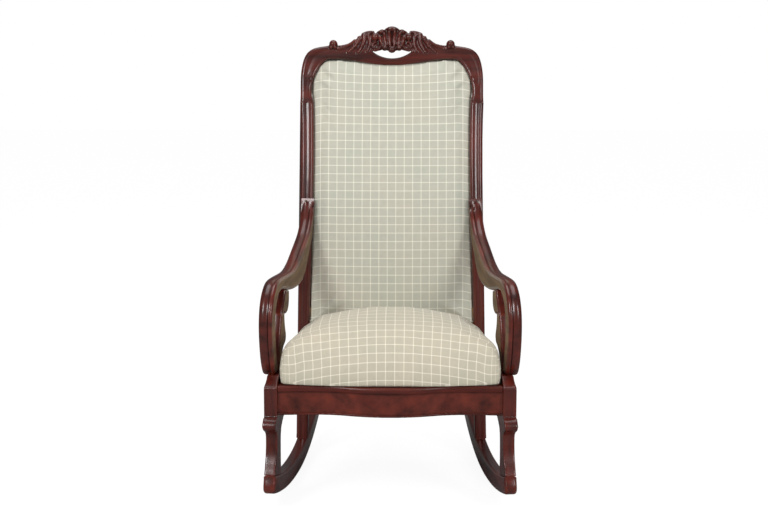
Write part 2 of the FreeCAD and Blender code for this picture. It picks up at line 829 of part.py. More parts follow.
def seat_outline(level, height, inset):
    """One level of the seat: a trapezium with round corners and a bowed front."""
    z, front_in, side_in, rear_in, front_r, rear_r, bow = level
    slope = (seat_front_x - seat_rear_x) / (seat_rear_y - seat_front_y)
    y0 = seat_front_y + front_in + inset
    y1 = seat_rear_y - rear_in - inset
    x0 = seat_front_x - side_in - inset - slope * (y0 - seat_front_y)
    x1 = seat_front_x - side_in - inset - slope * (y1 - seat_front_y)
    front_start = Vector(x0 - front_r, y0, height)
    front_corner = Vector(x0 - front_r * 0.29, y0 + front_r * 0.29, height)
    side_start = Vector(x0 - slope * front_r, y0 + front_r, height)
    side_end = Vector(x1 + slope * rear_r, y1 - rear_r, height)
    rear_corner = Vector(x1 - rear_r * 0.29, y1 - rear_r * 0.29, height)
    rear_start = Vector(x1 - rear_r, y1, height)
    right = [arc(front_start, front_corner, side_start), line(side_start, side_end),
             arc(side_end, rear_corner, rear_start)]
    left_front = Vector(-front_start.x, front_start.y, height)
    left_rear = Vector(-rear_start.x, rear_start.y, height)
    front = arc(left_front, Vector(0, y0 - seat_front_bulge * bow, height), front_start)
    return Part.Wire([front] + right + [line(rear_start, left_rear)] + mirrored_edges(right))


def seat_dome(inset):
    sections = []
    for level in seat_levels:
        z = level[0]
        sections.append(seat_outline(level, z if z == rail_top else z - inset, inset))
    return Part.makeLoft(sections, True, False)


def seat_slab(inset, bottom, thickness):
    """A flat layer with the outline of the seat at rail height."""
    return Part.Face(seat_outline(seat_levels[0], bottom, inset)).extrude(Z_AXIS * thickness)


def make_seat():
    outer = seat_dome(0)
    filling = seat_dome(cover_thickness)
    pieces["seat_cover"] = outer.cut(filling)
    cavity = seat_slab(padding_wall, rail_top, burlap_z + burlap_thickness - rail_top)
    pieces["seat_padding"] = filling.cut(cavity)
    pieces["seat_burlap"] = seat_slab(padding_wall, burlap_z, burlap_thickness)

    bottom = rail_bottom - 2 * webbing_thickness
    field = frame_field(bottom, 2 * webbing_thickness)
    pitch = webbing_width + webbing_gap
    strips = []
    for i in range(-3, 4):
        strip = box(i * pitch - webbing_width / 2, i * pitch + webbing_width / 2, -far, far,
                    bottom, bottom + webbing_thickness)
        strips.append(strip.common(field))
    for j in range(-2, 4):
        y = spring_centre_y + (j - 0.5) * pitch
        strip = box(-far, far, y - webbing_width / 2, y + webbing_width / 2,
                    bottom + webbing_thickness, rail_bottom)
        strips.append(strip.common(field))
    add_group("seat_webbing", [strip for strip in strips if strip.Volume > 1])
    pieces["dust_cover"] = frame_field(bottom - dust_cover_thickness, dust_cover_thickness)


def frame_field(bottom, thickness):
    """The area under the seat frame, out to the middle of each rail."""
    y0 = rail_back_y - 10
    y1 = rear_rail_y + 12
    corners = [Vector(x, y, bottom) for x, y in
               ((post_inner_x(y0) - 2, y0), (post_inner_x(post_back_y) - 2, post_back_y),
                (side_rail_face_x(post_back_y, -0.2), post_back_y + 1),
                (side_rail_face_x(stile_front_seat_y - 7, -0.2), stile_front_seat_y - 7),
                (stile_seat_x - stile_seat_width - 3, stile_front_seat_y - 7),
                (stile_seat_x - stile_seat_width - 3, y1))]
    left = [Vector(-corner.x, corner.y, corner.z) for corner in reversed(corners)]
    return prism(loop(corners + left), Z_AXIS * thickness)


def spring_radius_at(turn):
    """Radius of the hourglass spring after so many turns."""
    middle = spring_turns / 2
    share = ((turn - middle) / middle) ** 2
    return spring_waist_radius + (spring_radius - spring_waist_radius) * share


def spring_point(turn, rise, base_z):
    angle = 2 * math.pi * turn
    radius = spring_radius_at(turn)
    return Vector(radius * math.cos(angle), radius * math.sin(angle), base_z + rise * turn / spring_turns)


def spring_tangent(turn, rise, base_z):
    step = 0.001
    return (spring_point(turn + step, rise, base_z) - spring_point(turn - step, rise, base_z)).normalize()


def biarc(start, start_way, end, end_way):
    """Two tangent arcs from one point and direction to another."""
    across = end - start
    ways = start_way + end_way
    a = 2 * (1 - start_way.dot(end_way))
    b = 2 * across.dot(ways)
    reach = (-b + math.sqrt(b * b + 4 * a * across.dot(across))) / (2 * a)
    knee_in = start + start_way * reach
    knee_out = end - end_way * reach
    joint = (knee_in + knee_out) * 0.5
    return [tangent_arc(start, knee_in, joint), tangent_arc(joint, knee_out, end)]


def tangent_arc(start, knee, end):
    """The arc that leaves start towards the knee and arrives at end from it."""
    chord_middle = (start + end) * 0.5
    half_chord = (end - start).Length / 2
    height = (knee - chord_middle).Length
    side = (knee - start).Length
    sag = half_chord * height / (side + half_chord)
    return arc(start, chord_middle + (knee - chord_middle).normalize() * sag, end)


def make_spring(base_z, top_z):
    rise = top_z - base_z
    quarters = spring_turns * 4
    edges = []
    for i in range(quarters):
        t0 = i / 4
        t1 = (i + 1) / 4
        edges += biarc(spring_point(t0, rise, base_z), spring_tangent(t0, rise, base_z),
                       spring_point(t1, rise, base_z), spring_tangent(t1, rise, base_z))
    path = Part.Wire(edges)
    circle = Part.Wire(Part.Circle(spring_point(0, rise, base_z), spring_tangent(0, rise, base_z),
                                   spring_wire_radius).toShape())
    return path.makePipeShell([circle], True, False)


def make_springs():
    base_z = rail_bottom + spring_wire_radius + 0.6
    top_z = burlap_z - spring_wire_radius - 0.6
    spring = make_spring(base_z, top_z)
    half = (spring_rows - 1) / 2
    springs = []
    for i in range(spring_rows):
        for j in range(spring_rows):
            copy = spring.copy()
            copy.translate(Vector((i - half) * spring_pitch_x, spring_centre_y + (j - half) * spring_pitch_y, 0))
            springs.append(copy)
    add_group("seat_springs", springs)
    least_gap = rise_per_turn_gap(base_z, top_z)
    print("seat spring: least gap between turns %.1f mm" % least_gap)


def rise_per_turn_gap(base_z, top_z):
    """Least distance between points one turn apart, less the wire."""
    rise = top_z - base_z
    steps = 200
    gaps = []
    for i in range(steps):
        turn = i / steps * (spring_turns - 1)
        gaps.append((spring_point(turn + 1, rise, base_z) - spring_point(turn, rise, base_z)).Length)
    return min(gaps) - 2 * spring_wire_radius


def profile_y(points, z):
    """Depth at height z on a curve through points."""
    bend = curve(*points)
    level = line(yz(-far, z), yz(far, z))
    return bend.distToShape(level)[1][0][0].y


def back_levels():
    height = crest_joint_z - back_bottom_z
    return [back_bottom_z + height * share for share in (0, 0.148, 0.319, 0.49, 0.662, 0.833, 1)]


def back_front_y(z):
    """Depth of the frame's front face at height z, up through the leaning crest."""
    if z <= crest_joint_z:
        return profile_y(stile_front(), z)
    return stile_front_top_y + (z - crest_joint_z) * math.tan(math.radians(crest_lean))


def back_section(z, half_width, front_offset, crown, back_offset):
    """One level of the back upholstery: a crowned front and a flat rear."""
    y = back_front_y(z)
    front = Vector(half_width, y + front_offset, z)
    rear = Vector(half_width, y + back_offset, z)
    left_front = Vector(-half_width, front.y, z)
    left_rear = Vector(-half_width, rear.y, z)
    face = arc(left_front, Vector(0, front.y - crown, z), front) if crown else line(left_front, front)
    return Part.Wire([face, line(front, rear), line(rear, left_rear), line(left_rear, left_front)])


def cloth_half_width(z):
    """Half width between the stiles at height z, less the gap round the cloth."""
    if z >= crest_joint_z:
        return stile_top_x - stile_top_width - back_cloth_gap
    points = [Vector(0, point.x, point.z) for point in stile_inside()]
    return profile_y(points, z) - back_cloth_gap


def back_loft(side_inset, front_offset, crown, back_offset):
    sections = []
    for z in back_levels() + [back_top_z]:
        sections.append(back_section(z, cloth_half_width(z) - side_inset, front_offset, crown, back_offset))
    return Part.makeLoft(sections, True, False)


def inside_crest():
    """The space inside the crest's lower edge, running down past the seat."""
    inner = crest_inner_edges(back_cloth_gap)
    x = stile_top_x - stile_top_width - back_cloth_gap
    drop = -far
    foot = [line(xz(-x, 0), xz(-x, drop)), line(xz(-x, drop), xz(x, drop)), line(xz(x, drop), xz(x, 0))]
    space = prism(inner + mirrored_edges(inner) + foot, Y_AXIS * far)
    space.translate(Y_AXIS * (-far / 2))
    return lean_crest(space)


def make_back():
    opening = inside_crest()
    front = back_edge_setback
    depth = back_padding_depth
    outer = back_loft(0, front, back_crown, depth)
    filling = back_loft(cover_thickness, front + cover_thickness, back_crown, depth)
    pieces["back_cover"] = outer.cut(filling).common(opening)
    pieces["back_padding"] = filling.common(opening)
    strips = []
    for i in range(back_web_count):
        lowest = back_bottom_z + back_web_start
        z = lowest + i * (crest_joint_z - lowest) / (back_web_count - 1)
        strips.append(back_web(z))
    add_group("back_webbing", strips)
    behind = depth + webbing_thickness + 2 * web_clearance
    rear = back_loft(0, behind, 0, behind + outer_cover_thickness)
    pieces["back_outer_cover"] = rear.common(opening)


def back_web(z):
    """A strip of webbing straight across between the stiles, behind the filling."""
    low = z - back_web_width / 2
    high = z + back_web_width / 2
    sections = []
    for level in (low, z, high):
        y = back_front_y(level) + back_padding_depth + web_clearance
        x = cloth_half_width(level)
        corners = [Vector(-x, y, level), Vector(x, y, level), Vector(x, y + webbing_thickness, level),
                   Vector(-x, y + webbing_thickness, level)]
        sections.append(Part.Wire(loop(corners)))
    return Part.makeLoft(sections, True, True)


def make_tacks():
    """Upholstery tacks through the dust cover, into the rails."""
    top = rail_bottom - 2 * webbing_thickness
    under = top - dust_cover_thickness
    tacks = []
    places = []
    for i in range(tack_count):
        share = (i + 0.5) / tack_count
        y = post_back_y + 12 + share * (stile_front_seat_y - 20 - post_back_y)
        places += [(side_rail_face_x(y, -0.55), y), (-side_rail_face_x(y, -0.55), y)]
        x = (share - 0.5) * 2 * (stile_seat_x - stile_seat_width - 14)
        places.append((x, rear_rail_y + 6))
        places.append((x * 1.1, rail_back_y - 5))
    for x, y in places:
        head = Part.makeCylinder(tack_head_radius, tack_head_height, Vector(x, y, under - tack_head_height))
        shank = Part.makeCylinder(tack_radius, tack_length, Vector(x, y, under))
        drill(["dust_cover", "seat_webbing", "front_rail", "rear_rail", "side_rail_right", "side_rail_left"], shank)
        tacks.append(head.fuse(shank))
    add_group("dust_cover_tacks", tacks)


def centre_on_footprint():
    """Put the origin on the floor at the middle of the whole chair's outline."""
    bounds = Part.makeCompound(list(pieces.values())).BoundBox
    shift = Vector(0, -(bounds.YMin + bounds.YMax) / 2, -bounds.ZMin)
    print("shift to the middle of the footprint: y %.2f mm, z %.2f mm" % (shift.y, shift.z))
    for shape in pieces.values():
        shape.translate(shift)


def main():
    make_runners()
    make_front_legs()
    make_stiles()
    make_crest()
    make_arms()
    make_scroll_pieces()
    make_front_rail()
    make_side_rails()
    make_cross_rails()
    make_corner_blocks()
    make_dowels()
    make_screws()
    make_seat()
    make_springs()
    make_back()
    make_tacks()
    centre_on_footprint()
    os.makedirs("parts", exist_ok=True)
    for name in sorted(pieces):
        shape = pieces[name]
        shape.exportStep("parts/" + name + ".step")
        print("%-26s solids %d  volume %.1f cm3" % (name, len(shape.Solids), shape.Volume / 1000))


main()
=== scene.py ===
import math

import bmesh
import bpy
import numpy as np
from mathutils import Matrix, Vector
from mathutils.bvhtree import BVHTree


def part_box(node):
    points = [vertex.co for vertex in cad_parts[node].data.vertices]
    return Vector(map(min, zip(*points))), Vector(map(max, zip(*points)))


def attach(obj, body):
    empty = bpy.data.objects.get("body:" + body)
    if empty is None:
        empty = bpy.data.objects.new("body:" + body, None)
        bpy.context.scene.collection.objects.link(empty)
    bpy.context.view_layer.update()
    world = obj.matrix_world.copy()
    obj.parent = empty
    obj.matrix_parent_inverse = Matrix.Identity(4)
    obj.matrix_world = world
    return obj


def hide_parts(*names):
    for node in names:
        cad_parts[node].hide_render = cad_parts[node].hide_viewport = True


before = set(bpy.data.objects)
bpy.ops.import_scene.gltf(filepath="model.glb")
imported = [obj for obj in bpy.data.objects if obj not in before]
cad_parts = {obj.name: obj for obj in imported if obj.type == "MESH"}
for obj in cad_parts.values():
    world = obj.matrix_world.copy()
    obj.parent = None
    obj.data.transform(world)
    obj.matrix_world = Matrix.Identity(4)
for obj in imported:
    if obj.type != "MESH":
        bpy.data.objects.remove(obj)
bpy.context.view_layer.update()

# The looks of an upholstered rocking chair. Metres, +Z up, the chair faces -Y, and left and right are the
# viewer's. Boards are rebuilt from their CAD outlines with mouldings round their edges, the crest is carved,
# and the cushions are blown up as cloth round the CAD padding.

BODY = "root"
SIDES = ("left", "right")
CLOTH_MAP = "cloth"
SAME_PLACE = 0.00002

# Camera of the photograph
CAMERA_PLACE = (0.0274, -4.2236, 1.264)
CAMERA_FORWARD = (-0.01067, 0.98565, -0.16849)
CAMERA_LENS = 79.69


def select_only(obj):
    bpy.ops.object.select_all(action="DESELECT")
    obj.select_set(True)
    bpy.context.view_layer.objects.active = obj


def edit_all(obj, operator, **settings):
    """Run a mesh operator on the whole of a mesh."""
    select_only(obj)
    bpy.ops.object.mode_set(mode="EDIT")
    bpy.ops.mesh.select_all(action="SELECT")
    operator(**settings)
    bpy.ops.object.mode_set(mode="OBJECT")


def apply_modifiers(obj):
    select_only(obj)
    for modifier in list(obj.modifiers):
        bpy.ops.object.modifier_apply(modifier=modifier.name)


def modify(obj, kind, **settings):
    """Add a modifier with these settings and apply it."""
    modifier = obj.modifiers.new(kind.lower(), kind)
    for name, value in settings.items():
        setattr(modifier, name, value)
    apply_modifiers(obj)


def remesh(obj, voxel):
    modify(obj, "REMESH", mode="VOXEL", voxel_size=voxel, use_smooth_shade=True)


def relax(obj, times):
    modify(obj, "SMOOTH", iterations=times, factor=0.5)


def smooth(obj, angle):
    """Smooth shading, with edges sharper than an angle in degrees left sharp."""
    select_only(obj)
    bpy.ops.object.shade_smooth_by_angle(angle=math.radians(angle))


def add_object(name, data):
    obj = bpy.data.objects.new(name, data)
    bpy.context.scene.collection.objects.link(obj)
    return obj


def copy_node(node, name):
    """A merged copy of a CAD node's mesh, as a new object."""
    obj = add_object(name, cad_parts[node].data.copy())
    obj.data.materials.clear()
    edit_all(obj, bpy.ops.mesh.remove_doubles, threshold=SAME_PLACE)
    return obj


def values_of(rows, name, width=1, kind=float):
    """One attribute of all vertices, loops or faces, as an array."""
    flat = np.zeros(len(rows) * width, kind)
    rows.foreach_get(name, flat)
    return flat.reshape(-1, width) if width > 1 else flat


def coordinates_of(obj):
    return values_of(obj.data.vertices, "co", 3)


def move_to(obj, points):
    obj.data.vertices.foreach_set("co", points.reshape(-1))
    obj.data.update()


def vertices_of_loops(obj):
    return values_of(obj.data.loops, "vertex_index", kind=int)


def write_cloth_map(obj, across, along):
    """Write the UV map that cloth reads, in metres, from two values for each loop."""
    layer = obj.data.uv_layers.new(name=CLOTH_MAP)
    layer.data.foreach_set("uv", np.stack([across, along], axis=1).reshape(-1))


def centre_of(node):
    low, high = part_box(node)
    return [(a + b) / 2 for a, b in zip(low, high)]


def finish_piece(obj, material, nodes=()):
    """Give a piece its material and its body, and hide the CAD nodes that it stands for."""
    obj.data.materials.clear()
    obj.data.materials.append(material)
    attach(obj, BODY)
    if nodes:
        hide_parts(*nodes)
    return obj


# Materials

def rgb(red, green, blue):
    """A colour as it is seen, 0 to 255, turned to the linear values that nodes take."""
    linear = []
    for value in (red, green, blue):
        share = value / 255
        linear.append(share / 12.92 if share <= 0.04045 else ((share + 0.055) / 1.055) ** 2.4)
    return (*linear, 1.0)


class Nodes:
    """Adds nodes to a tree and joins them. Its short forms give back the socket that holds the result."""

    def __init__(self, tree):
        self.tree = tree

    def link(self, source, target):
        self.tree.links.new(source, target)

    def feed(self, node, inputs):
        """Join or set a node's inputs: a socket is joined, and anything else is a value."""
        for key, value in inputs.items():
            if isinstance(value, bpy.types.NodeSocket):
                self.link(value, node.inputs[key])
            else:
                node.inputs[key].default_value = value

    def add(self, kind, inputs=None, **settings):
        node = self.tree.nodes.new(kind)
        for name, value in settings.items():
            setattr(node, name, value)
        self.feed(node, inputs or {})
        return node

    def math(self, operation, *values):
        return self.add("ShaderNodeMath", dict(enumerate(values)), operation=operation).outputs[0]

    def mix(self, share, first, second):
        return self.add("ShaderNodeMix", {0: share, 6: first, 7: second}, data_type="RGBA").outputs[2]

    def noise(self, vector, scale, detail=4, roughness=0.5, distortion=0.0):
        node = self.add("ShaderNodeTexNoise", {"Vector": vector, "Scale": scale, "Detail": detail,
                                               "Roughness": roughness, "Distortion": distortion})
        return node.outputs["Fac"]

    def spread(self, value, low, high, to_low=0.0, to_high=1.0):
        """A value from low to high, turned to one from to_low to to_high and kept between them."""
        node = self.add("ShaderNodeMapRange", {"Value": value, "From Min": low, "From Max": high,
                                               "To Min": to_low, "To Max": to_high}, clamp=True)
        return node.outputs["Result"]

    def turned(self, vector, rotation=(0, 0, 0), scale=(1, 1, 1)):
        node = self.add("ShaderNodeMapping", {"Vector": vector, "Rotation": rotation, "Scale": scale})
        return node.outputs["Vector"]

    def object_place(self):
        return self.add("ShaderNodeTexCoord").outputs["Object"]

    def parts(self, vector):
        return self.add("ShaderNodeSeparateXYZ", {"Vector": vector}).outputs

    def bump(self, height, strength, distance):
        node = self.add("ShaderNodeBump", {"Height": height, "Strength": strength, "Distance": distance})
        return node.outputs["Normal"]

    def waves(self, value, length):
        """A sine along a value, its waves this long."""
        return self.math("SINE", self.math("MULTIPLY", value, 2 * math.pi / length))


def new_group(name, inputs, outputs):
    """A shader node group: its inputs are (name, type, default) and its outputs (name, type)."""
    tree = bpy.data.node_groups.new(name, "ShaderNodeTree")
    for socket_name, kind, default in inputs:
        socket = tree.interface.new_socket(socket_name, in_out="INPUT", socket_type=kind)
        if default is not None:
            socket.default_value = default
    for socket_name, kind in outputs:
        tree.interface.new_socket(socket_name, in_out="OUTPUT", socket_type=kind)
    nodes = Nodes(tree)
    source = nodes.add("NodeGroupInput")
    target = nodes.add("NodeGroupOutput")
    return tree, nodes, source.outputs, target.inputs


def make_grain_group():
    """Wood grain whose fibres run along the vector's Z: colour, roughness and height."""
    tree, n, given, out = new_group(
        "wood grain",
        [("Vector", "NodeSocketVector", None), ("Dark", "NodeSocketColor", (0.03, 0.006, 0.004, 1)),
         ("Light", "NodeSocketColor", (0.15, 0.035, 0.02, 1)), ("Figure", "NodeSocketFloat", 1.0),
         ("Roughness", "NodeSocketFloat", 0.32)],
        [("Color", "NodeSocketColor"), ("Roughness", "NodeSocketFloat"), ("Height", "NodeSocketFloat")])
    along = n.turned(given["Vector"], scale=(1, 1, 0.07))
    bands = n.noise(along, 38, 3, 0.55, 0.35)
    fibres = n.noise(n.turned(given["Vector"], scale=(1, 1, 0.035)), 420, 2, 0.6)
    pores = n.noise(n.turned(given["Vector"], scale=(1, 1, 0.05)), 1500, 1, 0.5)
    clouds = n.noise(given["Vector"], 7, 3, 0.5)
    share = n.math("ADD", n.math("MULTIPLY", n.spread(bands, 0.33, 0.68), given["Figure"]),
                   n.math("MULTIPLY", n.spread(fibres, 0.3, 0.7), 0.22))
    share = n.math("ADD", share, n.spread(clouds, 0.3, 0.7, -0.08, 0.08))
    color = n.mix(n.spread(share, -0.1, 1.3), given["Dark"], given["Light"])
    pore_mask = n.spread(pores, 0.62, 0.78)
    color = n.mix(n.math("MULTIPLY", pore_mask, 0.35), color, given["Dark"])
    n.link(color, out["Color"])
    n.link(n.math("ADD", given["Roughness"], n.spread(clouds, 0.3, 0.7, -0.05, 0.06)), out["Roughness"])
    height = n.math("SUBTRACT", n.math("MULTIPLY", fibres, 0.25), n.math("MULTIPLY", pore_mask, 0.6))
    n.link(height, out["Height"])
    return tree


def make_wear_and_shade_group():
    """Painted shade darkened into the hollows, and the rubbed, redder edges of old polish."""
    tree, n, given, out = new_group(
        "rubbed edges and painted hollow shade",
        [("Color", "NodeSocketColor", (0.1, 0.02, 0.01, 1)),
         ("Rubbed", "NodeSocketColor", (0.2, 0.05, 0.03, 1)), ("Amount", "NodeSocketFloat", 0.5)],
        [("Color", "NodeSocketColor")])
    pointed = n.add("ShaderNodeNewGeometry").outputs["Pointiness"]
    patches = n.noise(n.object_place(), 22, 4, 0.6)
    edge = n.spread(pointed, 0.505, 0.56)
    hollow = n.spread(pointed, 0.495, 0.44)
    mask = n.math("MULTIPLY", n.math("MULTIPLY", edge, n.spread(patches, 0.35, 0.65)), given["Amount"])
    # Painted shade: the hollows are darkened towards near black, where light would reach less
    dark = n.mix(n.math("MULTIPLY", hollow, 0.75), given["Color"], (0.012, 0.004, 0.003, 1))
    n.link(n.mix(mask, dark, given["Rubbed"]), out["Color"])
    return tree


def make_check_group():
    """Checked cloth on a map in metres: colour and thread height."""
    tree, n, given, out = new_group(
        "checked weave",
        [("Vector", "NodeSocketVector", None), ("Pitch", "NodeSocketFloat", 0.0216),
         ("Stripe", "NodeSocketFloat", 0.0022), ("Ground", "NodeSocketColor", (0.5, 0.49, 0.42, 1)),
         ("Second ground", "NodeSocketColor", (0.5, 0.45, 0.38, 1)),
         ("Line", "NodeSocketColor", (0.75, 0.72, 0.6, 1))],
        [("Color", "NodeSocketColor"), ("Height", "NodeSocketFloat")])
    parts = n.parts(given["Vector"])
    wander = n.math("MULTIPLY", n.math("SUBTRACT", n.noise(given["Vector"], 9, 2), 0.5), 0.0012)
    half = n.math("MULTIPLY", given["Stripe"], 0.5)
    lines = []
    squares = []
    threads = []
    for axis in ("X", "Y"):
        place = n.math("ADD", parts[axis], wander)
        cell = n.math("DIVIDE", place, given["Pitch"])
        from_middle = n.math("ABSOLUTE", n.math("SUBTRACT", n.math("FRACT", cell), 0.5))
        edge = n.math("SUBTRACT", n.math("MULTIPLY", from_middle, given["Pitch"]), half)
        lines.append(n.spread(edge, -0.0003, 0.0003, 1.0, 0.0))
        squares.append(n.math("FLOOR", n.math("ADD", cell, 0.5)))
        threads.append(n.waves(place, 0.00075))
    column_tone = n.math("FRACT", n.math("MULTIPLY", squares[0], 0.381966))
    row_tone = n.math("FRACT", n.math("MULTIPLY", squares[1], 0.618034))
    tone = n.math("MULTIPLY", n.math("ADD", column_tone, row_tone), 0.5)
    patches = n.spread(n.noise(given["Vector"], 5, 2), 0.35, 0.65, 0.0, 0.65)
    tone = n.math("ADD", n.math("MULTIPLY", tone, 0.35), patches)
    ground = n.mix(tone, given["Ground"], given["Second ground"])
    slubs = n.spread(n.noise(given["Vector"], 60, 3, 0.6), 0.35, 0.7, 0.0, 0.16)
    ground = n.mix(slubs, ground, (0.32, 0.31, 0.26, 1))
    weave = n.math("MULTIPLY", *threads)
    ground = n.mix(n.spread(weave, -1, 1, 0.0, 0.14), ground, (0.3, 0.29, 0.24, 1))
    either = n.math("MAXIMUM", *lines)
    both = n.math("MULTIPLY", *lines)
    color = n.mix(n.math("MULTIPLY", either, 0.76), ground, given["Line"])
    n.link(n.mix(n.math("MULTIPLY", both, 0.6), color, (0.86, 0.83, 0.72, 1)), out["Color"])
    n.link(n.math("ADD", n.math("MULTIPLY", weave, 0.5), n.math("MULTIPLY", either, 0.8)), out["Height"])
    return tree


grain_group = make_grain_group()
wear_and_shade_group = make_wear_and_shade_group()
check_group = make_check_group()


def empty_nodes(owner):
    """The nodes of a material or a world, all taken out."""
    owner.use_nodes = True
    owner.node_tree.nodes.clear()
    return Nodes(owner.node_tree)


def new_material(name, plain_inputs):
    """A material, its nodes and its shader, with the values that are the same all over."""
    material = bpy.data.materials.new(name)
    n = empty_nodes(material)
    shader = n.add("ShaderNodeBsdfPrincipled", plain_inputs)
    n.add("ShaderNodeOutputMaterial", {"Surface": shader.outputs[0]})
    return material, n, shader


def wood_material(name, dark, light, rubbed, direction, roughness=0.33, figure=1.0, coat=0.55, wear=0.5,
                  mirror_x=False):
    """Polished wood, its grain running along a direction."""
    material, n, shader = new_material(
        name, {"Coat Weight": coat, "Coat Roughness": 0.14, "Specular IOR Level": 0.38})
    place = n.object_place()
    if mirror_x:
        parts = n.parts(place)
        place = n.add("ShaderNodeCombineXYZ", {"X": n.math("ABSOLUTE", parts["X"]), "Y": parts["Y"],
                                               "Z": parts["Z"]}).outputs["Vector"]
    grain_turn = Vector(direction).to_track_quat("Z", "Y").inverted().to_euler()
    grain = n.add("ShaderNodeGroup", {"Vector": n.turned(place, rotation=grain_turn), "Dark": dark,
                                      "Light": light, "Figure": figure, "Roughness": roughness},
                  node_tree=grain_group)
    # Rubbed edges, which are wear, and painted shade in the hollows
    wear_and_shade = n.add("ShaderNodeGroup", {"Color": grain.outputs["Color"], "Rubbed": rubbed, "Amount": wear},
                node_tree=wear_and_shade_group)
    n.feed(shader, {"Base Color": wear_and_shade.outputs["Color"], "Roughness": grain.outputs["Roughness"],
                    "Normal": n.bump(grain.outputs["Height"], 0.06, 0.0006)})
    return material


def checked_cloth_material(name, ground, second, line):
    """Woven checks that follow the cloth map."""
    material, n, shader = new_material(name, {"Roughness": 0.92, "Sheen Weight": 0.18, "Sheen Roughness": 0.5,
                                              "Specular IOR Level": 0.2})
    place = n.add("ShaderNodeUVMap", uv_map=CLOTH_MAP).outputs["UV"]
    check = n.add("ShaderNodeGroup", {"Vector": place, "Ground": ground, "Second ground": second, "Line": line},
                  node_tree=check_group)
    n.feed(shader, {"Base Color": check.outputs["Color"],
                    "Normal": n.bump(check.outputs["Height"], 0.22, 0.0004)})
    return material


def plain_cloth_material(name, first, second, thread):
    """A coarse plain weave, its threads this far apart."""
    material, n, shader = new_material(name, {"Roughness": 0.95})
    place = n.object_place()
    parts = n.parts(place)
    down = n.math("ADD", parts["Y"], parts["Z"])
    weave = n.math("MULTIPLY", n.waves(parts["X"], thread), n.waves(down, thread))
    patches = n.spread(n.noise(place, 30, 4, 0.6), 0.3, 0.7, 0, 0.5)
    share = n.math("ADD", n.spread(weave, -1, 1, 0, 0.5), patches)
    n.feed(shader, {"Base Color": n.mix(share, first, second), "Normal": n.bump(weave, 0.4, 0.0005)})
    return material


def steel_material(name, color, rust):
    """Bare steel with rusty patches."""
    material, n, shader = new_material(name, {})
    mask = n.spread(n.noise(n.object_place(), 160, 4, 0.6), 0.5, 0.66)
    n.feed(shader, {"Base Color": n.mix(mask, color, rust), "Roughness": n.spread(mask, 0, 1, 0.38, 0.8),
                    "Metallic": n.spread(mask, 0, 1, 0.95, 0.25)})
    return material


MAHOGANY_RUBBED = rgb(128, 50, 30)


def mahogany(name, direction, **settings):
    return wood_material(name, rgb(32, 8, 5), rgb(98, 30, 18), MAHOGANY_RUBBED, direction, **settings)


upright_mahogany = mahogany("mahogany upright", (0, 0.1, 1))
crest_mahogany = mahogany("mahogany crest", (1, 0, 0))
deep_mahogany = mahogany("mahogany deep", (0, 1, 0.1))
rail_mahogany = mahogany("mahogany rail", (1, 0, 0), coat=0.12, roughness=0.38)
veneer_mahogany = wood_material("figured veneer", rgb(38, 8, 5), rgb(88, 25, 14), MAHOGANY_RUBBED,
                                (1, 0, 0.55), figure=1.15, mirror_x=True, coat=0.08, roughness=0.42)
# Painted reflection: the inner side faces of the arms and scrolls get a pale tan that stands for the pale cloth
# reflected in their polish
mahogany_with_painted_reflection = wood_material("mahogany inner side with painted cloth reflection", rgb(70, 48, 32), rgb(134, 108, 78), rgb(150, 118, 84),
                               (0, 1, 0.1), roughness=0.62, coat=0.0, figure=0.8, wear=0.2)
birch = wood_material("secondary wood", rgb(120, 84, 52), rgb(176, 136, 92), rgb(190, 150, 105), (1, 0, 0),
                      roughness=0.7, coat=0.0, figure=0.7, wear=0.3)
checked_cloth = checked_cloth_material("checked cloth", rgb(186, 188, 174), rgb(198, 192, 176),
                                       rgb(226, 223, 208))
seat_cloth = checked_cloth_material("checked cloth of the seat", rgb(184, 180, 161), rgb(199, 188, 168),
                                    rgb(226, 218, 200))
jute = plain_cloth_material("jute webbing", rgb(120, 98, 66), rgb(176, 150, 108), 0.0016)
burlap_cloth = plain_cloth_material("burlap", rgb(112, 90, 60), rgb(168, 142, 100), 0.0022)
cambric = plain_cloth_material("black cambric", rgb(20, 20, 22), rgb(38, 37, 38), 0.0009)
spring_steel = steel_material("spring wire", rgb(150, 144, 134), rgb(96, 62, 42))
screw_steel = steel_material("screw steel", rgb(160, 156, 148), rgb(92, 70, 52))


# Frame of the chair

CAP_FACING = 0.75


def cap_loop(bm, across, sign):
    """The longest loop round the faces that look along one way across the board, as points."""
    cap = [face for face in bm.faces if face.normal.dot(across) * sign > CAP_FACING]
    in_cap = set(cap)
    links = {}
    for face in cap:
        for edge in face.edges:
            if sum(other in in_cap for other in edge.link_faces) == 1:
                first, second = edge.verts
                links.setdefault(first, []).append(second)
                links.setdefault(second, []).append(first)
    best = []
    seen = set()
    for start in links:
        if start in seen:
            continue
        loop = [start]
        seen.add(start)
        while True:
            following = [v for v in links[loop[-1]] if v not in seen]
            if not following:
                break
            loop.append(following[0])
            seen.add(following[0])
        length = sum((p.co - q.co).length for p, q in zip(loop, loop[1:]))
        if length > sum((p - q).length for p, q in zip(best, best[1:])):
            best = [v.co.copy() for v in loop]
    return best


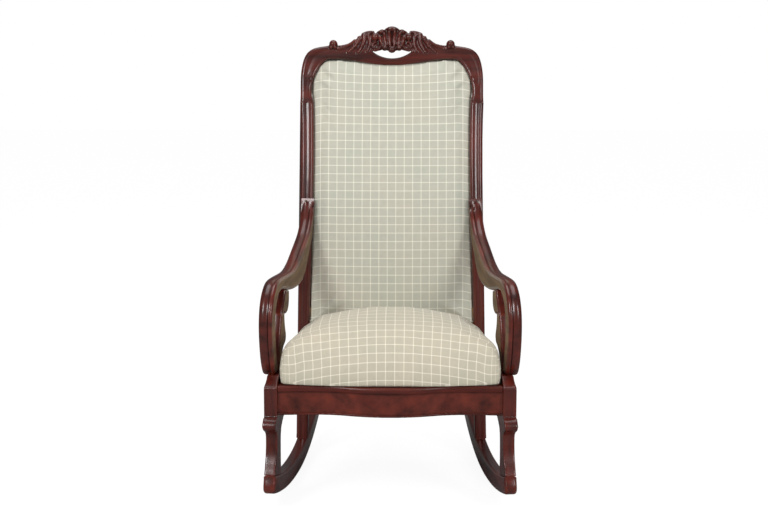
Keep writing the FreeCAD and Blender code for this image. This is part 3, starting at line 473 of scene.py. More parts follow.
def resample(points, flat, spacing, corner=0.6):
    """Points at even spacing round a closed loop, its corners kept; flat is the loop in the board's plane."""
    count = len(points)
    keep = []
    for i in range(count):
        before = flat[i] - flat[i - 1]
        after = flat[(i + 1) % count] - flat[i]
        if np.linalg.norm(before) > 1e-5 and np.linalg.norm(after) > 1e-5:
            turn = abs(math.atan2(before[0] * after[1] - before[1] * after[0], before @ after))
            if turn > corner:
                keep.append(i)
    if not keep:
        keep = [0]
    out = []
    for index, start in enumerate(keep):
        end = keep[(index + 1) % len(keep)]
        if end <= start:
            end += count
        run = [points[i % count] for i in range(start, end + 1)]
        steps = [(q - p).length for p, q in zip(run, run[1:])]
        total = sum(steps)
        number = max(1, round(total / spacing))
        length = np.concatenate([[0], np.cumsum(steps)])
        for k in range(number):
            at = total * k / number
            i = min(int(np.searchsorted(length, at, side="right")) - 1, len(run) - 2)
            share = (at - length[i]) / max(steps[i], 1e-9)
            out.append(run[i].lerp(run[i + 1], share))
    return out


def nearest_on_loop(flat, points, target):
    """The 3D point of a closed loop that is nearest to a target in the board's own plane."""
    edge = np.roll(flat, -1, axis=0) - flat
    share = (((target - flat) * edge).sum(1) / np.maximum((edge ** 2).sum(1), 1e-12)).clip(0, 1)
    gap = ((flat + edge * share[:, None] - target) ** 2).sum(1)
    i = int(gap.argmin())
    return points[i].lerp(points[(i + 1) % len(points)], float(share[i]))


def depth_room(points, outward, stretch, deepest):
    """How far each point of a closed outline can move in before it meets another part of it."""
    start = points
    edge = np.roll(points, -1, axis=0) - start
    size = (edge ** 2).sum(1)
    room = np.zeros(len(points))
    free = np.ones(len(points), bool)
    for depth in np.linspace(deepest / 12, deepest, 12):
        moved = points - outward * (depth * stretch)[:, None]
        offset = moved[:, None, :] - start[None, :, :]
        share = ((offset * edge[None]).sum(2) / np.maximum(size, 1e-12)).clip(0, 1)
        gap = np.sqrt(((offset - edge[None] * share[:, :, None]) ** 2).sum(2)).min(1)
        free &= gap > 0.96 * depth
        room[free] = depth
    return room * 0.97


def board_outlines(node):
    """The outlines of a board's outer and inner faces, and the level way along the board."""
    source = copy_node(node, node + "_outline")
    bm = bmesh.new()
    bm.from_mesh(source.data)
    bm.normal_update()
    across = Vector((0, 0, 0))
    for face in bm.faces:
        if face.normal.x > CAP_FACING:
            across += face.normal * face.calc_area()
    across.z = 0
    across.normalize()
    inward_sign = -1 if centre_of(node)[0] > 0 else 1
    outer = cap_loop(bm, across, -inward_sign)
    inner = cap_loop(bm, across, inward_sign)
    bm.free()
    bpy.data.objects.remove(source)
    return outer, inner, Vector((0, 0, 1)).cross(across)


def unit_rows(rows):
    return rows / np.linalg.norm(rows, axis=1, keepdims=True).clip(1e-9)


def outward_ways(flat):
    """Unit ways out of a closed outline at its points, and how far its corners stretch an offset."""
    ahead = unit_rows(np.roll(flat, -1, axis=0) - flat)
    behind = unit_rows(flat - np.roll(flat, 1, axis=0))
    tangent = unit_rows(ahead + behind)
    outward = np.stack([tangent[:, 1], -tangent[:, 0]], axis=1)
    square = np.stack([ahead[:, 1], -ahead[:, 0]], axis=1)
    return outward, 1 / np.clip((outward * square).sum(1), 0.6, 1)


def moulded_board(node, name, material, front, plain, front_way, spacing=0.0035, painted_reflection_material=None):
    """A board rebuilt from its CAD node's outline, with a moulding run round its edge.

    front and plain are profiles across the edge: (share of the thickness, depth in metres).
    The front profile is run where the edge looks along front_way, and the plain one elsewhere."""
    outer, inner, level = board_outlines(node)

    def flat(points):
        return np.array([(point.dot(level), point.z) for point in points])

    def in_board(pair):
        return level * float(pair[0]) + Vector((0, 0, float(pair[1])))

    flat_outer = flat(outer)
    following = np.roll(flat_outer, -1, axis=0)
    if (flat_outer[:, 0] * following[:, 1] - following[:, 0] * flat_outer[:, 1]).sum() < 0:
        outer.reverse()
    outer = resample(outer, flat(outer), spacing)
    flat_outer = flat(outer)
    flat_inner = flat(inner)
    matched = [nearest_on_loop(flat_inner, inner, point) for point in flat_outer]

    outward, stretch = outward_ways(flat_outer)
    way = Vector(front_way).normalized()
    facing = np.array([in_board(pair).dot(way) for pair in outward])
    weight = np.clip((facing - 0.1) / 0.3, 0, 1)
    for _ in range(3):
        weight = (np.roll(weight, 1) + weight + np.roll(weight, -1)) / 3
    room = depth_room(flat_outer, outward, stretch, max(depth for share, depth in plain))

    vertices = []
    for (plain_share, plain_depth), (front_share, front_depth) in zip(plain, front):
        for i, point in enumerate(outer):
            share = plain_share * (1 - weight[i]) + front_share * weight[i]
            depth = plain_depth * (1 - weight[i]) + front_depth * weight[i]
            depth = min(depth, room[i]) * stretch[i]
            vertices.append(point.lerp(matched[i], share) - in_board(outward[i]) * depth)
    count = len(outer)
    last = len(vertices) - count
    faces = []
    for low in range(0, last, count):
        for i in range(count):
            j = (i + 1) % count
            faces.append((low + i, low + j, low + count + j, low + count + i))
    faces.append(tuple(range(count)))
    faces.append(tuple(range(last, last + count)))
    mesh = bpy.data.meshes.new(name)
    mesh.from_pydata([tuple(point) for point in vertices], [], faces)
    obj = add_object(name, mesh)
    edit_all(obj, bpy.ops.mesh.normals_make_consistent, inside=False)
    smooth(obj, 38)
    finish_piece(obj, material, [node])
    # The inner side face gets the pale tan of the painted reflection
    if painted_reflection_material:
        obj.data.materials.append(painted_reflection_material)
        obj.data.polygons[-1].material_index = 1


VALLEY_SHARE = 0.44
VALLEY_WIDTH = 0.13


def rounded(radius, thickness, steps=4):
    """Profile of an edge with both corners rounded."""
    out = []
    for i in range(steps + 1):
        angle = math.pi / 2 * i / steps
        out.append((radius / thickness * (1 - math.cos(angle)), radius * (1 - math.sin(angle))))
    return out + [(1 - share, depth) for share, depth in reversed(out)]


def with_middle(profile, number):
    """A rounded profile with this many more points across its flat middle."""
    half = len(profile) // 2
    low = profile[half - 1][0]
    high = profile[half][0]
    middle = [(low + (high - low) * (i + 1) / (number + 1), 0.0) for i in range(number)]
    return profile[:half] + middle + profile[half:]


def soft_pair(radius, thickness, number, valley):
    """Two broad soft beads with a shallow valley a little outside the middle."""
    profile = with_middle(rounded(radius, thickness, 5), number)
    return [(share, depth + valley * math.exp(-((share - VALLEY_SHARE) / VALLEY_WIDTH) ** 2))
            for share, depth in profile]


def round_and_bead(radius, thickness, number, valley):
    """A broad round with a narrow bead along its inner side."""
    profile = with_middle(rounded(radius, thickness), number)
    out = []
    for share, depth in profile:
        if share < 0.68:
            swell_share = (share - 0.34) / 0.34
            depth = max(depth, 0.0042 * swell_share ** 2 * (1 if share > 0.34 else 1.25))
        elif share < 0.88:
            depth = max(depth, valley * (0.62 + 0.38 * math.cos(2 * math.pi * (share - 0.68) / 0.2)))
        out.append((share, depth))
    return out


def worn_board(node, name, material, voxel, times):
    """A board from its CAD node with softly worn edges."""
    obj = copy_node(node, name)
    remesh(obj, voxel)
    relax(obj, times)
    smooth(obj, 60)
    finish_piece(obj, material, [node])


def sawn_board(node, name):
    """A hidden rail from its CAD node, with its edges taken off."""
    obj = copy_node(node, name)
    edit_all(obj, bpy.ops.mesh.dissolve_limited, angle_limit=math.radians(0.4), use_dissolve_boundaries=False)
    modify(obj, "BEVEL", width=0.002, segments=3, limit_method="ANGLE", angle_limit=math.radians(40))
    smooth(obj, 42)
    finish_piece(obj, birch, [node])


STILE_ROUND = with_middle(rounded(0.008, 0.033, 5), 11)
STILE_BEADS = soft_pair(0.008, 0.033, 11, 0.0014)
ARM_ROUND = with_middle(rounded(0.0085, 0.033), 11)
ARM_BEADS = round_and_bead(0.008, 0.033, 11, 0.0011)
RUNNER_ROUND = with_middle(rounded(0.006, 0.029), 1)
SCROLL_ROUND = with_middle(rounded(0.005, 0.030), 1)

for side in SIDES:
    moulded_board("rocker_" + side, "runner_" + side, deep_mahogany, RUNNER_ROUND, RUNNER_ROUND, (0, -1, 0))
    moulded_board("rear_stile_" + side, "stile_" + side, upright_mahogany, STILE_BEADS, STILE_ROUND, (0, -1, 0))
    moulded_board("arm_" + side, "armrest_" + side, deep_mahogany, ARM_BEADS, ARM_ROUND, (0, -0.8, 0.6),
                  painted_reflection_material=mahogany_with_painted_reflection)
    moulded_board("arm_scroll_upper_" + side, "scroll_bracket_" + side, deep_mahogany, SCROLL_ROUND,
                  SCROLL_ROUND, (0, -1, 0), painted_reflection_material=mahogany_with_painted_reflection)
    moulded_board("arm_scroll_lower_" + side, "scroll_strut_" + side, deep_mahogany, SCROLL_ROUND,
                  SCROLL_ROUND, (0, -1, 0), painted_reflection_material=mahogany_with_painted_reflection)
    worn_board("front_leg_" + side, "leg_" + side, upright_mahogany, 0.0016, 5)
    worn_board("side_rail_" + side, "seat_rail_" + side, deep_mahogany, 0.004, 1)


# Crest

CREST_FOOT = Vector((0, 0.17144, 0.918))
CREST_LEAN = math.radians(17.5)
CREST_VOXEL = 0.0016
CREST_FINE_VOXEL = 0.00133
BOSS_X = 0.044
BOSS_Z = 1.080
BOSS_CLEAR = 0.0105


def crest_place(x, z, out=0.0):
    """A point on the crest's front face, from its height there, and how far it stands out."""
    rise = z - CREST_FOOT.z
    return Vector((x, CREST_FOOT.y + rise * math.tan(CREST_LEAN) - out * math.cos(CREST_LEAN),
                   z + out * math.sin(CREST_LEAN)))


def crest_flat(points):
    """Coordinates across, up and into the leaning crest."""
    y = points[:, 1] - CREST_FOOT.y
    z = points[:, 2] - CREST_FOOT.z
    up = y * math.sin(CREST_LEAN) + z * math.cos(CREST_LEAN)
    into = y * math.cos(CREST_LEAN) - z * math.sin(CREST_LEAN)
    return points[:, 0], up, into


def crest_outlines():
    """The edges of the crest's front face, as flat segments, without those of the bosses."""
    source = copy_node("crest_rail", "crest_outline")
    bm = bmesh.new()
    bm.from_mesh(source.data)
    bm.normal_update()
    front = Vector((0, -math.cos(CREST_LEAN), math.sin(CREST_LEAN)))
    starts = []
    ends = []
    for edge in bm.edges:
        sides = [face.normal.dot(front) > 0.9 for face in edge.link_faces]
        if len(sides) == 2 and sides[0] != sides[1]:
            pair = np.array([tuple(v.co) for v in edge.verts])
            across, up, into = crest_flat(pair)
            if into.max() < 0.002 and up.min() > 0.001:
                starts.append((across[0], up[0]))
                ends.append((across[1], up[1]))
    bm.free()
    bpy.data.objects.remove(source)
    starts = np.array(starts)
    ends = np.array(ends)
    boss_up = (BOSS_Z - CREST_FOOT.z) / math.cos(CREST_LEAN)
    middle = (starts + ends) / 2
    far = np.hypot(abs(middle[:, 0]) - BOSS_X, middle[:, 1] - boss_up) > BOSS_CLEAR
    return starts[far], ends[far]


def distance_to(points, starts, ends):
    """How far flat points are from the nearest of many segments."""
    edge = ends - starts
    size = np.maximum((edge ** 2).sum(1), 1e-12)
    out = np.empty(len(points))
    for i in range(0, len(points), 4000):
        offset = points[i:i + 4000, None, :] - starts[None]
        share = ((offset * edge[None]).sum(2) / size).clip(0, 1)
        out[i:i + 4000] = np.sqrt(((offset - edge[None] * share[:, :, None]) ** 2).sum(2)).min(1)
    return out


def unit_ball(around=14, rings=8):
    """Points and faces of a ball of radius one."""
    points = [(0, 0, 1)]
    for i in range(1, rings):
        polar = math.pi * i / rings
        for j in range(around):
            turn = 2 * math.pi * j / around
            points.append((math.sin(polar) * math.cos(turn), math.sin(polar) * math.sin(turn), math.cos(polar)))
    points.append((0, 0, -1))
    faces = [(0, 1 + j, 1 + (j + 1) % around) for j in range(around)]
    for i in range(rings - 2):
        for j in range(around):
            a = 1 + i * around + j
            b = 1 + i * around + (j + 1) % around
            faces.append((a, a + around, b + around, b))
    last = len(points) - 1
    faces += [(last, last - around + (j + 1) % around, last - around + j) for j in range(around)]
    return np.array(points), faces


class Blobs:
    """Many ellipsoids on the crest's face, kept as one mesh."""

    def __init__(self):
        self.ball_points, self.ball_faces = unit_ball()
        self.points = []
        self.faces = []
        self.count = 0

    def add(self, x, z, out, radii, angle=0.0):
        """An ellipsoid: radii along, across and out, turned in the crest's face."""
        place = Matrix.Translation(crest_place(x, z, out))
        tilt = Matrix.Rotation(-CREST_LEAN, 4, "X")
        turn = Matrix.Rotation(-angle, 4, "Y")
        size = Matrix.Diagonal((radii[0], radii[2], radii[1], 1))
        matrix = np.array(place @ tilt @ turn @ size)
        self.points.append(self.ball_points @ matrix[:3, :3].T + matrix[:3, 3])
        self.faces += [tuple(i + self.count for i in face) for face in self.ball_faces]
        self.count += len(self.ball_points)

    def as_object(self, name):
        mesh = bpy.data.meshes.new(name)
        mesh.from_pydata([tuple(point) for part in self.points for point in part], [], self.faces)
        return add_object(name, mesh)


def add_rib(blobs, points, radii, out, steps=9):
    """A tapered rib of overlapping ellipsoids along a bent line through three points."""
    (x0, z0), (x1, z1), (x2, z2) = points
    for i in range(steps):
        t = i / (steps - 1)
        x = (1 - t) ** 2 * x0 + 2 * t * (1 - t) * x1 + t * t * x2
        z = (1 - t) ** 2 * z0 + 2 * t * (1 - t) * z1 + t * t * z2
        dx = 2 * (1 - t) * (x1 - x0) + 2 * t * (x2 - x1)
        dz = 2 * (1 - t) * (z1 - z0) + 2 * t * (z2 - z1)
        reach = math.hypot(dx, dz) / (steps - 1)
        radius = radii[0] + (radii[1] - radii[0]) * t
        blobs.add(x, z, out, (max(reach * 0.95, radius), radius, radius * 1.15), math.atan2(dz, dx))


def add_curl(blobs, x, z, radius, thickness, start, turn, out, steps=15):
    """A small volute: a rib that winds in to a round eye."""
    for i in range(steps):
        t = i / (steps - 1)
        angle = start + turn * t
        reach = radius * (1 - 0.62 * t)
        blobs.add(x + reach * math.cos(angle), z + reach * math.sin(angle), out,
                  (thickness * (1.25 - 0.3 * t), thickness * (1 - 0.25 * t), thickness * 1.2),
                  angle + math.pi / 2)
    blobs.add(x, z, out + 0.001, (thickness * 1.1, thickness * 1.1, thickness * 1.5))


# Flutes of the shell: their places across, and the heights where each starts and ends
FLUTES = ((-0.0290, 1.0555, 1.0840), (-0.0180, 1.0510, 1.0925), (-0.0065, 1.0510, 1.0985),
          (0.0065, 1.0510, 1.0985), (0.0180, 1.0510, 1.0925), (0.0290, 1.0555, 1.0840))
# Lobes below the shell: place across, height, radius
LOBES = ((-0.0185, 1.0515, 0.0082), (0, 1.0480, 0.0105), (0.0185, 1.0515, 0.0082))
# Ribs of one side's scroll and leaf: three places, radii at both ends, and how far each stands out
LEAF_RIBS = (
    (((0.030, 1.0580), (0.033, 1.0470), (0.045, 1.0465)), (0.0040, 0.0036), 0.001),
    (((0.049, 1.0925), (0.062, 1.0950), (0.076, 1.0880)), (0.0040, 0.0034), 0.0005),
    (((0.061, 1.0860), (0.052, 1.0660), (0.064, 1.0460)), (0.0066, 0.0040), -0.0004),
    (((0.072, 1.0835), (0.070, 1.0640), (0.087, 1.0430)), (0.0070, 0.0042), 0.0002),
    (((0.084, 1.0775), (0.090, 1.0620), (0.111, 1.0440)), (0.0066, 0.0036), 0.0),
    (((0.096, 1.0700), (0.109, 1.0600), (0.136, 1.0500)), (0.0056, 0.0030), -0.0004),
    (((0.076, 1.0860), (0.100, 1.0600), (0.136, 1.0570)), (0.0034, 0.0028), 0.0),
)
# Eye of the leaf, bud, its two small beads and its stalk: place across, height, stand-out, radii
BUD_ROUNDS = (
    (0.0930, 1.0570, 0.0025, (0.0035, 0.0035, 0.0040)), (0.152, 1.0625, 0.0, (0.0112, 0.0108, 0.0130)),
    (0.1475, 1.0535, 0.004, (0.0042, 0.0042, 0.0060)), (0.1585, 1.0535, 0.004, (0.0042, 0.0042, 0.0060)),
    (0.139, 1.0510, 0.001, (0.0048, 0.0036, 0.0040)),
)


def make_carving():
    """The carved shell, leaves, scrolls and buds, as one mesh of overlapping rounds."""
    blobs = Blobs()
    for i, (x, low, high) in enumerate(FLUTES):
        lean = -math.radians(5) * (i - 2.5)
        blobs.add(x, (low + high) / 2, 0.002, ((high - low) / 2 + 0.004, 0.0058, 0.0088), math.pi / 2 + lean)
    blobs.add(0, 1.1005, 0.002, (0.0150, 0.0068, 0.0085))
    for x, z, radius in LOBES:
        blobs.add(x, z, 0.0035, (radius, radius * 0.85, 0.0095))
    for sign in (-1, 1):
        blobs.add(sign * 0.0270, 1.0935, 0.001, (0.0085, 0.0062, 0.0080), -sign * 0.4)
        blobs.add(sign * BOSS_X, BOSS_Z, 0.0055, (0.0096, 0.0096, 0.0085))
        add_curl(blobs, sign * 0.0425, 1.0575, 0.0095, 0.0034, math.pi / 2, sign * -4.4, 0.0015)
        for points, radii, out in LEAF_RIBS:
            add_rib(blobs, [(sign * x, z) for x, z in points], radii, out)
        for x, z, out, radii in BUD_ROUNDS:
            blobs.add(sign * x, z, out, radii)
    return blobs.as_object("carving")


def mould_crest(crest):
    """Round the crest's front edges off, and run a soft valley down its two shoulders."""
    starts, ends = crest_outlines()
    middle = (starts + ends) / 2
    hole = (abs(middle[:, 0]) < 0.062) & (middle[:, 1] > 0.1105) & (middle[:, 1] < 0.142)
    inside = (abs(middle[:, 0]) < 0.2034) & (middle[:, 1] < 0.1160) & ~hole
    outside = ~hole & ~inside
    points = coordinates_of(crest)
    across, up, into = crest_flat(points)
    flat = np.stack([across, up], axis=1)
    to_inside = distance_to(flat, starts[inside], ends[inside])
    to_outside = distance_to(flat, starts[outside], ends[outside])
    face = np.clip((0.0085 - into) / 0.004, 0, 1)
    share = to_outside / np.maximum(to_outside + to_inside, 1e-6)
    shoulder = np.clip((abs(across) - 0.13) / 0.06, 0, 1)
    valley = 0.0014 * np.exp(-((share - VALLEY_SHARE) / VALLEY_WIDTH) ** 2) * shoulder
    fall = 0.0034 * np.clip(1 - to_outside / 0.009, 0, 1) ** 2 * np.clip((abs(across) - 0.045) / 0.03, 0.15, 1)
    fall += 0.0030 * np.clip(1 - to_inside / 0.008, 0, 1) ** 2
    sink = (valley + fall) * face
    points[:, 1] += sink * math.cos(CREST_LEAN)
    points[:, 2] -= sink * math.sin(CREST_LEAN)
    move_to(crest, points)


def make_crest():
    crest = copy_node("crest_rail", "crest_board")
    points = coordinates_of(crest)
    foot = points[:, 2] < CREST_FOOT.z + 0.0005
    points[foot] -= np.array((0, 0.0018, 0.007))
    move_to(crest, points)
    remesh(crest, CREST_VOXEL)
    relax(crest, 4)
    mould_crest(crest)
    carving = make_carving()
    select_only(crest)
    carving.select_set(True)
    bpy.ops.object.join()
    remesh(crest, CREST_FINE_VOXEL)
    relax(crest, 3)
    smooth(crest, 75)
    finish_piece(crest, crest_mahogany, ["crest_rail"])


make_crest()
worn_board("front_rail", "front_rail_core", rail_mahogany, 0.004, 1)
worn_board("front_rail_moulding", "front_rail_top_moulding", rail_mahogany, 0.0015, 3)
worn_board("front_rail_bead", "front_rail_lower_bead", rail_mahogany, 0.0015, 3)
sawn_board("rear_rail", "rear_seat_rail")
sawn_board("back_bottom_rail", "lower_back_rail")


# Upholstery

CUSHION_VOXEL = 0.005
BLOW_FRAMES = 20
BLOW_LIMIT = 0.007
CLOTH_SETTINGS = {
    "use_pressure": True, "uniform_pressure_force": 4.0, "vertex_group_mass": "held", "quality": 6, "mass": 0.3,
    "tension_stiffness": 12, "compression_stiffness": 12, "shear_stiffness": 6, "bending_stiffness": 0.6,
}


def swell(obj, held):
    """Blow a cushion up as cloth, its held points fixed, and limit how far a point moves."""
    before = coordinates_of(obj)
    group = obj.vertex_groups.new(name="held")
    group.add([int(i) for i in np.nonzero(held)[0]], 1.0, "REPLACE")
    cloth = obj.modifiers.new("cloth", "CLOTH")
    cloth.settings.effector_weights.gravity = 0
    for name, value in CLOTH_SETTINGS.items():
        setattr(cloth.settings, name, value)
    cloth.point_cache.frame_start = 1
    cloth.point_cache.frame_end = BLOW_FRAMES
    for step in range(1, BLOW_FRAMES + 1):
        bpy.context.scene.frame_set(step)
    apply_modifiers(obj)
    bpy.context.scene.frame_set(1)
    move = coordinates_of(obj) - before
    length = np.linalg.norm(move, axis=1, keepdims=True)
    move *= np.minimum(1, BLOW_LIMIT / np.maximum(length, 1e-9))
    move_to(obj, before + move)
    obj.vertex_groups.clear()


def finish_cushion(obj, material, nodes, lay_checks):
    """Smooth a cushion, lay its checks, give it its material and hide the CAD nodes that it stands for."""
    modify(obj, "SUBSURF", levels=1, render_levels=1)
    lay_checks(obj)
    smooth(obj, 80)
    finish_piece(obj, material, nodes)


class Girth:
    """Lengths round a cushion, on slices across one axis, along rays from the middle of each slice."""

    def __init__(self, tree, axis, stations, middle, steps=240):
        other = 1 if axis == 0 else 0
        self.stations = np.array(stations)
        self.angles = np.linspace(-0.12, math.pi + 0.12, steps)
        self.grid = np.linspace(-0.5, 0.5, 401)
        self.by_turn = []
        self.by_place = []
        for station in stations:
            start = Vector(middle)
            start[axis] = station
            points = []
            for angle in self.angles:
                way = Vector((0, 0, math.sin(angle)))
                way[other] = math.cos(angle)
                hit = tree.ray_cast(start, way)[0]
                missed = points[-1] if points else (start[other], start[2])
                points.append((hit[other], hit[2]) if hit else missed)
            points = np.array(points)
            length = np.concatenate([[0], np.cumsum(np.linalg.norm(np.diff(points, axis=0), axis=1))])
            length -= np.interp(math.pi / 2, self.angles, length)
            self.by_turn.append(length)
            high = int(points[:, 0].argmax())
            low = int(points[:, 0].argmin())
            places = points[high:low + 1, 0][::-1]
            lengths = length[high:low + 1][::-1]
            places = np.maximum.accumulate(places + np.arange(len(places)) * 1e-9)
            row = np.interp(self.grid, places, lengths)
            row -= np.clip(self.grid - places[-1], 0, None) + np.clip(self.grid - places[0], None, 0)
            self.by_place.append(row)
        self.by_turn = np.array(self.by_turn)
        self.by_place = np.array(self.by_place)

    def look(self, table, columns, stations, places):
        row = np.interp(stations, self.stations, np.arange(len(self.stations)))
        column = np.interp(places, columns, np.arange(len(columns)))
        i = np.floor(row).astype(int).clip(0, len(self.stations) - 2)
        j = np.floor(column).astype(int).clip(0, len(columns) - 2)
        a, b = row - i, column - j
        return ((table[i, j] * (1 - b) + table[i, j + 1] * b) * (1 - a)
                + (table[i + 1, j] * (1 - b) + table[i + 1, j + 1] * b) * a)

    def turned_to(self, stations, angles):
        return self.look(self.by_turn, self.angles, stations, angles)

    def at_place(self, stations, places):
        return self.look(self.by_place, self.grid, stations, places)

def angle_round(height, reach):
    """Angle from straight back or right, over the top, to front or left."""
    angle = np.arctan2(height, reach) % (2 * math.pi)
    return np.where(angle > 1.5 * math.pi, angle - 2 * math.pi, angle)


SEAT_CORE = (0, -0.17, 0.330)
SEAT_SIDE_X = 0.20
SEAT_HELD_Z = 0.303
SEAT_CHECK_SCALE = 0.966
# The hollow of the seat's padding: across, front to back, and up
SEAT_HOLLOW = ((-0.219, 0.219), (-0.345, 0.031), (0.2960, 0.3545))


def lay_seat_checks(obj):
    mesh = obj.data
    points = coordinates_of(obj)
    tree = BVHTree.FromPolygons([tuple(p) for p in points], [tuple(p.vertices) for p in mesh.polygons])
    lengthwise = Girth(tree, 0, np.linspace(-0.235, 0.235, 48), SEAT_CORE)
    crosswise = Girth(tree, 1, np.linspace(-0.33, 0.02, 36), SEAT_CORE)
    x, y, z = points.T
    down = angle_round(z - SEAT_CORE[2], y - SEAT_CORE[1])
    front_along = lengthwise.turned_to(x, down)
    widen = SEAT_CHECK_SCALE + 0.05 * np.clip((front_along - 0.12) / 0.12, 0, 1)
    front_across = -crosswise.at_place(np.clip(y, -0.30, 0.0), x) * widen
    side_across = -crosswise.turned_to(y, angle_round(z - SEAT_CORE[2], x)) * SEAT_CHECK_SCALE
    side_along = lengthwise.at_place(np.clip(x, -SEAT_SIDE_X, SEAT_SIDE_X), y)
    normals = abs(values_of(mesh.polygons, "normal", 3))
    centres = values_of(mesh.polygons, "center", 3)
    side = (normals[:, 0] > normals[:, 1]) & (abs(centres[:, 0]) > 0.15) | (centres[:, 1] > -0.1)
    side_loop = np.repeat(side, values_of(mesh.polygons, "loop_total", kind=int))
    vertex = vertices_of_loops(obj)
    write_cloth_map(obj, np.where(side_loop, side_across[vertex], front_across[vertex]),
                    np.where(side_loop, side_along[vertex], front_along[vertex]))


def without_hollow(node, name, hollow):
    """The outside of a hollow CAD solid: the faces of its hollow go, and the hole is closed."""
    obj = copy_node(node, name)
    select_only(obj)
    bpy.ops.object.mode_set(mode="EDIT")
    bpy.ops.mesh.select_mode(type="FACE")
    bm = bmesh.from_edit_mesh(obj.data)
    for face in bm.faces:
        face.select_set(all(low < value < high for vertex in face.verts
                            for value, (low, high) in zip(vertex.co, hollow)))
    bmesh.update_edit_mesh(obj.data)
    bpy.ops.mesh.delete(type="FACE")
    bpy.ops.object.mode_set(mode="OBJECT")
    edit_all(obj, bpy.ops.mesh.fill_holes, sides=0)
    edit_all(obj, bpy.ops.mesh.normals_make_consistent, inside=False)
    return obj


def make_seat_cushion():
    seat = without_hollow("seat_padding", "seat_cushion", SEAT_HOLLOW)
    remesh(seat, CUSHION_VOXEL)
    relax(seat, 6)
    swell(seat, coordinates_of(seat)[:, 2] < SEAT_HELD_Z)
    relax(seat, 2)
    finish_cushion(seat, seat_cloth, ["seat_cover", "seat_padding"], lay_seat_checks)


BACK_CLOTH_EDGE_Z = 0.3935
TUCK_DOWN = 0.045
TUCK_FORWARD = 0.004
BACK_HELD_DEPTH = 0.024
BACK_TOP_Z = 1.006
BACK_SQUASH = 0.0035
# Half the gap between the stiles, and the frame's front face, at heights: (value, height)
STILE_INSIDE = ((0.2140, 0.330), (0.2085, 0.480), (0.2025, 0.680), (0.2015, 0.840), (0.2040, 0.918),
                (0.2060, 0.945), (0.2050, 0.975), (0.1985, 0.994), (0.188, 1.008))
STILE_FRONT = ((0.045, 0.04), (0.050, 0.17), (0.060, 0.30), (0.073, 0.42), (0.096, 0.60), (0.126, 0.75),
               (0.170, 0.918), (0.205, 1.029))


def at_heights(table, heights):
    return np.interp(heights, [height for value, height in table], [value for value, height in table])


def behind_front(points):
    """How far points are behind the frame's front face."""
    return points[:, 1] - 0.0014 - at_heights(STILE_FRONT, points[:, 2])


def fit_between_stiles(obj):
    """Widen the cushion until it touches the stiles on both sides."""
    points = coordinates_of(obj)
    levels = np.linspace(points[:, 2].min(), BACK_TOP_Z, 44)
    widest = np.array([abs(points[abs(points[:, 2] - level) < 0.008, 0]).max() for level in levels])
    room = at_heights(STILE_INSIDE, levels) + BACK_SQUASH
    points[:, 0] *= np.interp(points[:, 2], levels, room / widest)
    points[:, 2] += 0.003 * np.clip((points[:, 2] - 0.98) / 0.02, 0, 1)
    move_to(obj, points)


def lay_back_checks(obj):
    x, y, z = coordinates_of(obj).T
    middle = abs(x) < 0.05
    order = np.linspace(z[middle].min() + 0.015, z[middle].max() - 0.015, 80)
    front = np.array([y[middle & (abs(z - level) < 0.014)].min() for level in order])
    length = np.concatenate([[0], np.cumsum(np.hypot(np.diff(order), np.diff(front)))])
    edge = np.clip((abs(x) - 0.165) / 0.04, 0, 1)
    along = np.interp(z, order, length) + 0.007 * edge ** 2
    rise = np.clip((z - 0.82) / 0.2, 0, 1)
    along = along - 0.010 * rise * (np.clip(abs(x) / 0.17, 0, 1) ** 2 - 0.35)
    vertex = vertices_of_loops(obj)
    write_cloth_map(obj, x[vertex], along[vertex])


def make_back_cushion():
    """The back cushion, its cloth run down behind the seat."""
    back = copy_node("back_padding", "back_cushion")
    points = coordinates_of(back)
    low = points[:, 2] < BACK_CLOTH_EDGE_Z
    points[low, 2] -= TUCK_DOWN
    points[low, 1] -= TUCK_FORWARD
    move_to(back, points)
    remesh(back, CUSHION_VOXEL)
    relax(back, 4)
    swell(back, behind_front(coordinates_of(back)) > BACK_HELD_DEPTH)
    relax(back, 2)
    fit_between_stiles(back)
    finish_cushion(back, checked_cloth, ["back_cover", "back_padding"], lay_back_checks)


def cloth_sheet(node, name, material, axes=(0, 1)):
    """A stretched sheet of cloth that takes the place of its CAD node."""
    obj = copy_node(node, name)
    smooth(obj, 50)
    places = coordinates_of(obj)[vertices_of_loops(obj)]
    write_cloth_map(obj, places[:, axes[0]], places[:, axes[1]])
    finish_piece(obj, material, [node])


make_seat_cushion()
make_back_cushion()
cloth_sheet("back_outer_cover", "back_outside_cloth", checked_cloth,
            axes=(0, 2))
cloth_sheet("dust_cover", "bottom_cloth", cambric)
cloth_sheet("seat_burlap", "spring_cloth", burlap_cloth)
cloth_sheet("seat_webbing", "seat_webs", jute)
cloth_sheet("back_webbing", "back_webs", jute)


# CAD nodes that stay as they are, by material
PLAIN_NODES = (
    (birch, ("corner_block_front_left", "corner_block_front_right", "corner_block_rear_left",
             "corner_block_rear_right", "leg_dowels", "rail_dowels", "crest_dowels", "arm_dowels")),
    (upright_mahogany, ("arm_screw_plugs",)),
    (deep_mahogany, ("arm_side_plug",)),
    (veneer_mahogany, ("front_rail_veneer",)),
    (screw_steel, ("corner_block_screws", "arm_screws", "dust_cover_tacks")),
    (spring_steel, ("seat_springs",)),
)
for material, nodes in PLAIN_NODES:
    for node in nodes:
        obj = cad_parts[node]
        for material_slot in obj.material_slots:
            material_slot.material = material
        if not obj.material_slots:
            obj.data.materials.append(material)


# Floor, light and camera

WHITE = (1, 1, 1, 1)


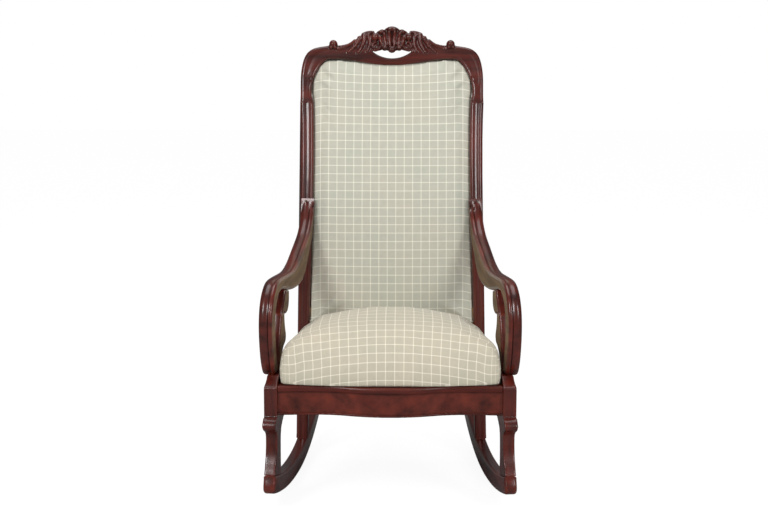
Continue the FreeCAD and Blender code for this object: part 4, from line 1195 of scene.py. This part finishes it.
def make_floor():
    """A pale floor that keeps the chair's shadow and shows almost white to the camera."""
    bpy.ops.mesh.primitive_plane_add(size=14, location=(0, 2, 0))
    floor = bpy.context.object
    floor.name = "floor"
    material = bpy.data.materials.new("pale floor")
    n = empty_nodes(material)
    path = n.add("ShaderNodeLightPath").outputs
    tone = n.mix(path["Is Glossy Ray"], (0.86, 0.86, 0.86, 1), (0.22, 0.22, 0.22, 1))
    diffuse = n.add("ShaderNodeBsdfDiffuse", {"Color": tone})
    glow = n.add("ShaderNodeEmission", {"Color": WHITE, "Strength": 1.12})
    mixed = n.add("ShaderNodeMixShader", {0: n.math("MULTIPLY", path["Is Camera Ray"], 0.82),
                                          1: diffuse.outputs[0], 2: glow.outputs[0]})
    n.add("ShaderNodeOutputMaterial", {"Surface": mixed.outputs[0]})
    floor.data.materials.append(material)


def make_world():
    """Even light from all sides, white to the camera and dimmer in the polish."""
    world = bpy.data.worlds.new("pale world")
    bpy.context.scene.world = world
    n = empty_nodes(world)
    path = n.add("ShaderNodeLightPath").outputs
    seen = n.math("MAXIMUM", path["Is Camera Ray"], path["Is Transmission Ray"])
    strength = n.math("MULTIPLY_ADD", path["Is Glossy Ray"], -0.34, 0.46)
    around = n.add("ShaderNodeBackground", {"Color": WHITE, "Strength": strength})
    shown = n.add("ShaderNodeBackground", {"Color": WHITE, "Strength": 1.0})
    mixed = n.add("ShaderNodeMixShader", {0: seen, 1: around.outputs[0], 2: shown.outputs[0]})
    n.add("ShaderNodeOutputWorld", {"Surface": mixed.outputs[0]})


def place_and_aim(obj, place, way):
    obj.location = place
    obj.rotation_euler = Vector(way).to_track_quat("-Z", "Y").to_euler()


def area_lamp(name, place, aim, power, width, height):
    lamp = bpy.data.lights.new(name, "AREA")
    lamp.shape = "RECTANGLE"
    lamp.energy = power
    lamp.size = width
    lamp.size_y = height
    place_and_aim(add_object(name, lamp), place, Vector(aim) - Vector(place))


def make_camera():
    camera = bpy.data.cameras.new("camera")
    camera.lens = CAMERA_LENS
    camera.sensor_width = 36
    camera.sensor_fit = "HORIZONTAL"
    camera.clip_end = 50
    obj = add_object("camera", camera)
    place_and_aim(obj, CAMERA_PLACE, CAMERA_FORWARD)
    bpy.context.scene.camera = obj


make_floor()
make_world()
area_lamp("key", (-1.7, -2.6, 2.3), (0, 0, 0.6), 50, 0.7, 1.3)
area_lamp("fill", (1.9, -2.5, 1.9), (0, 0, 0.6), 33, 0.7, 1.3)
area_lamp("top", (0, 0.2, 3.0), (0, 0, 0.5), 26, 1.8, 1.8)
make_camera()
bpy.context.scene.view_settings.view_transform = "Standard"
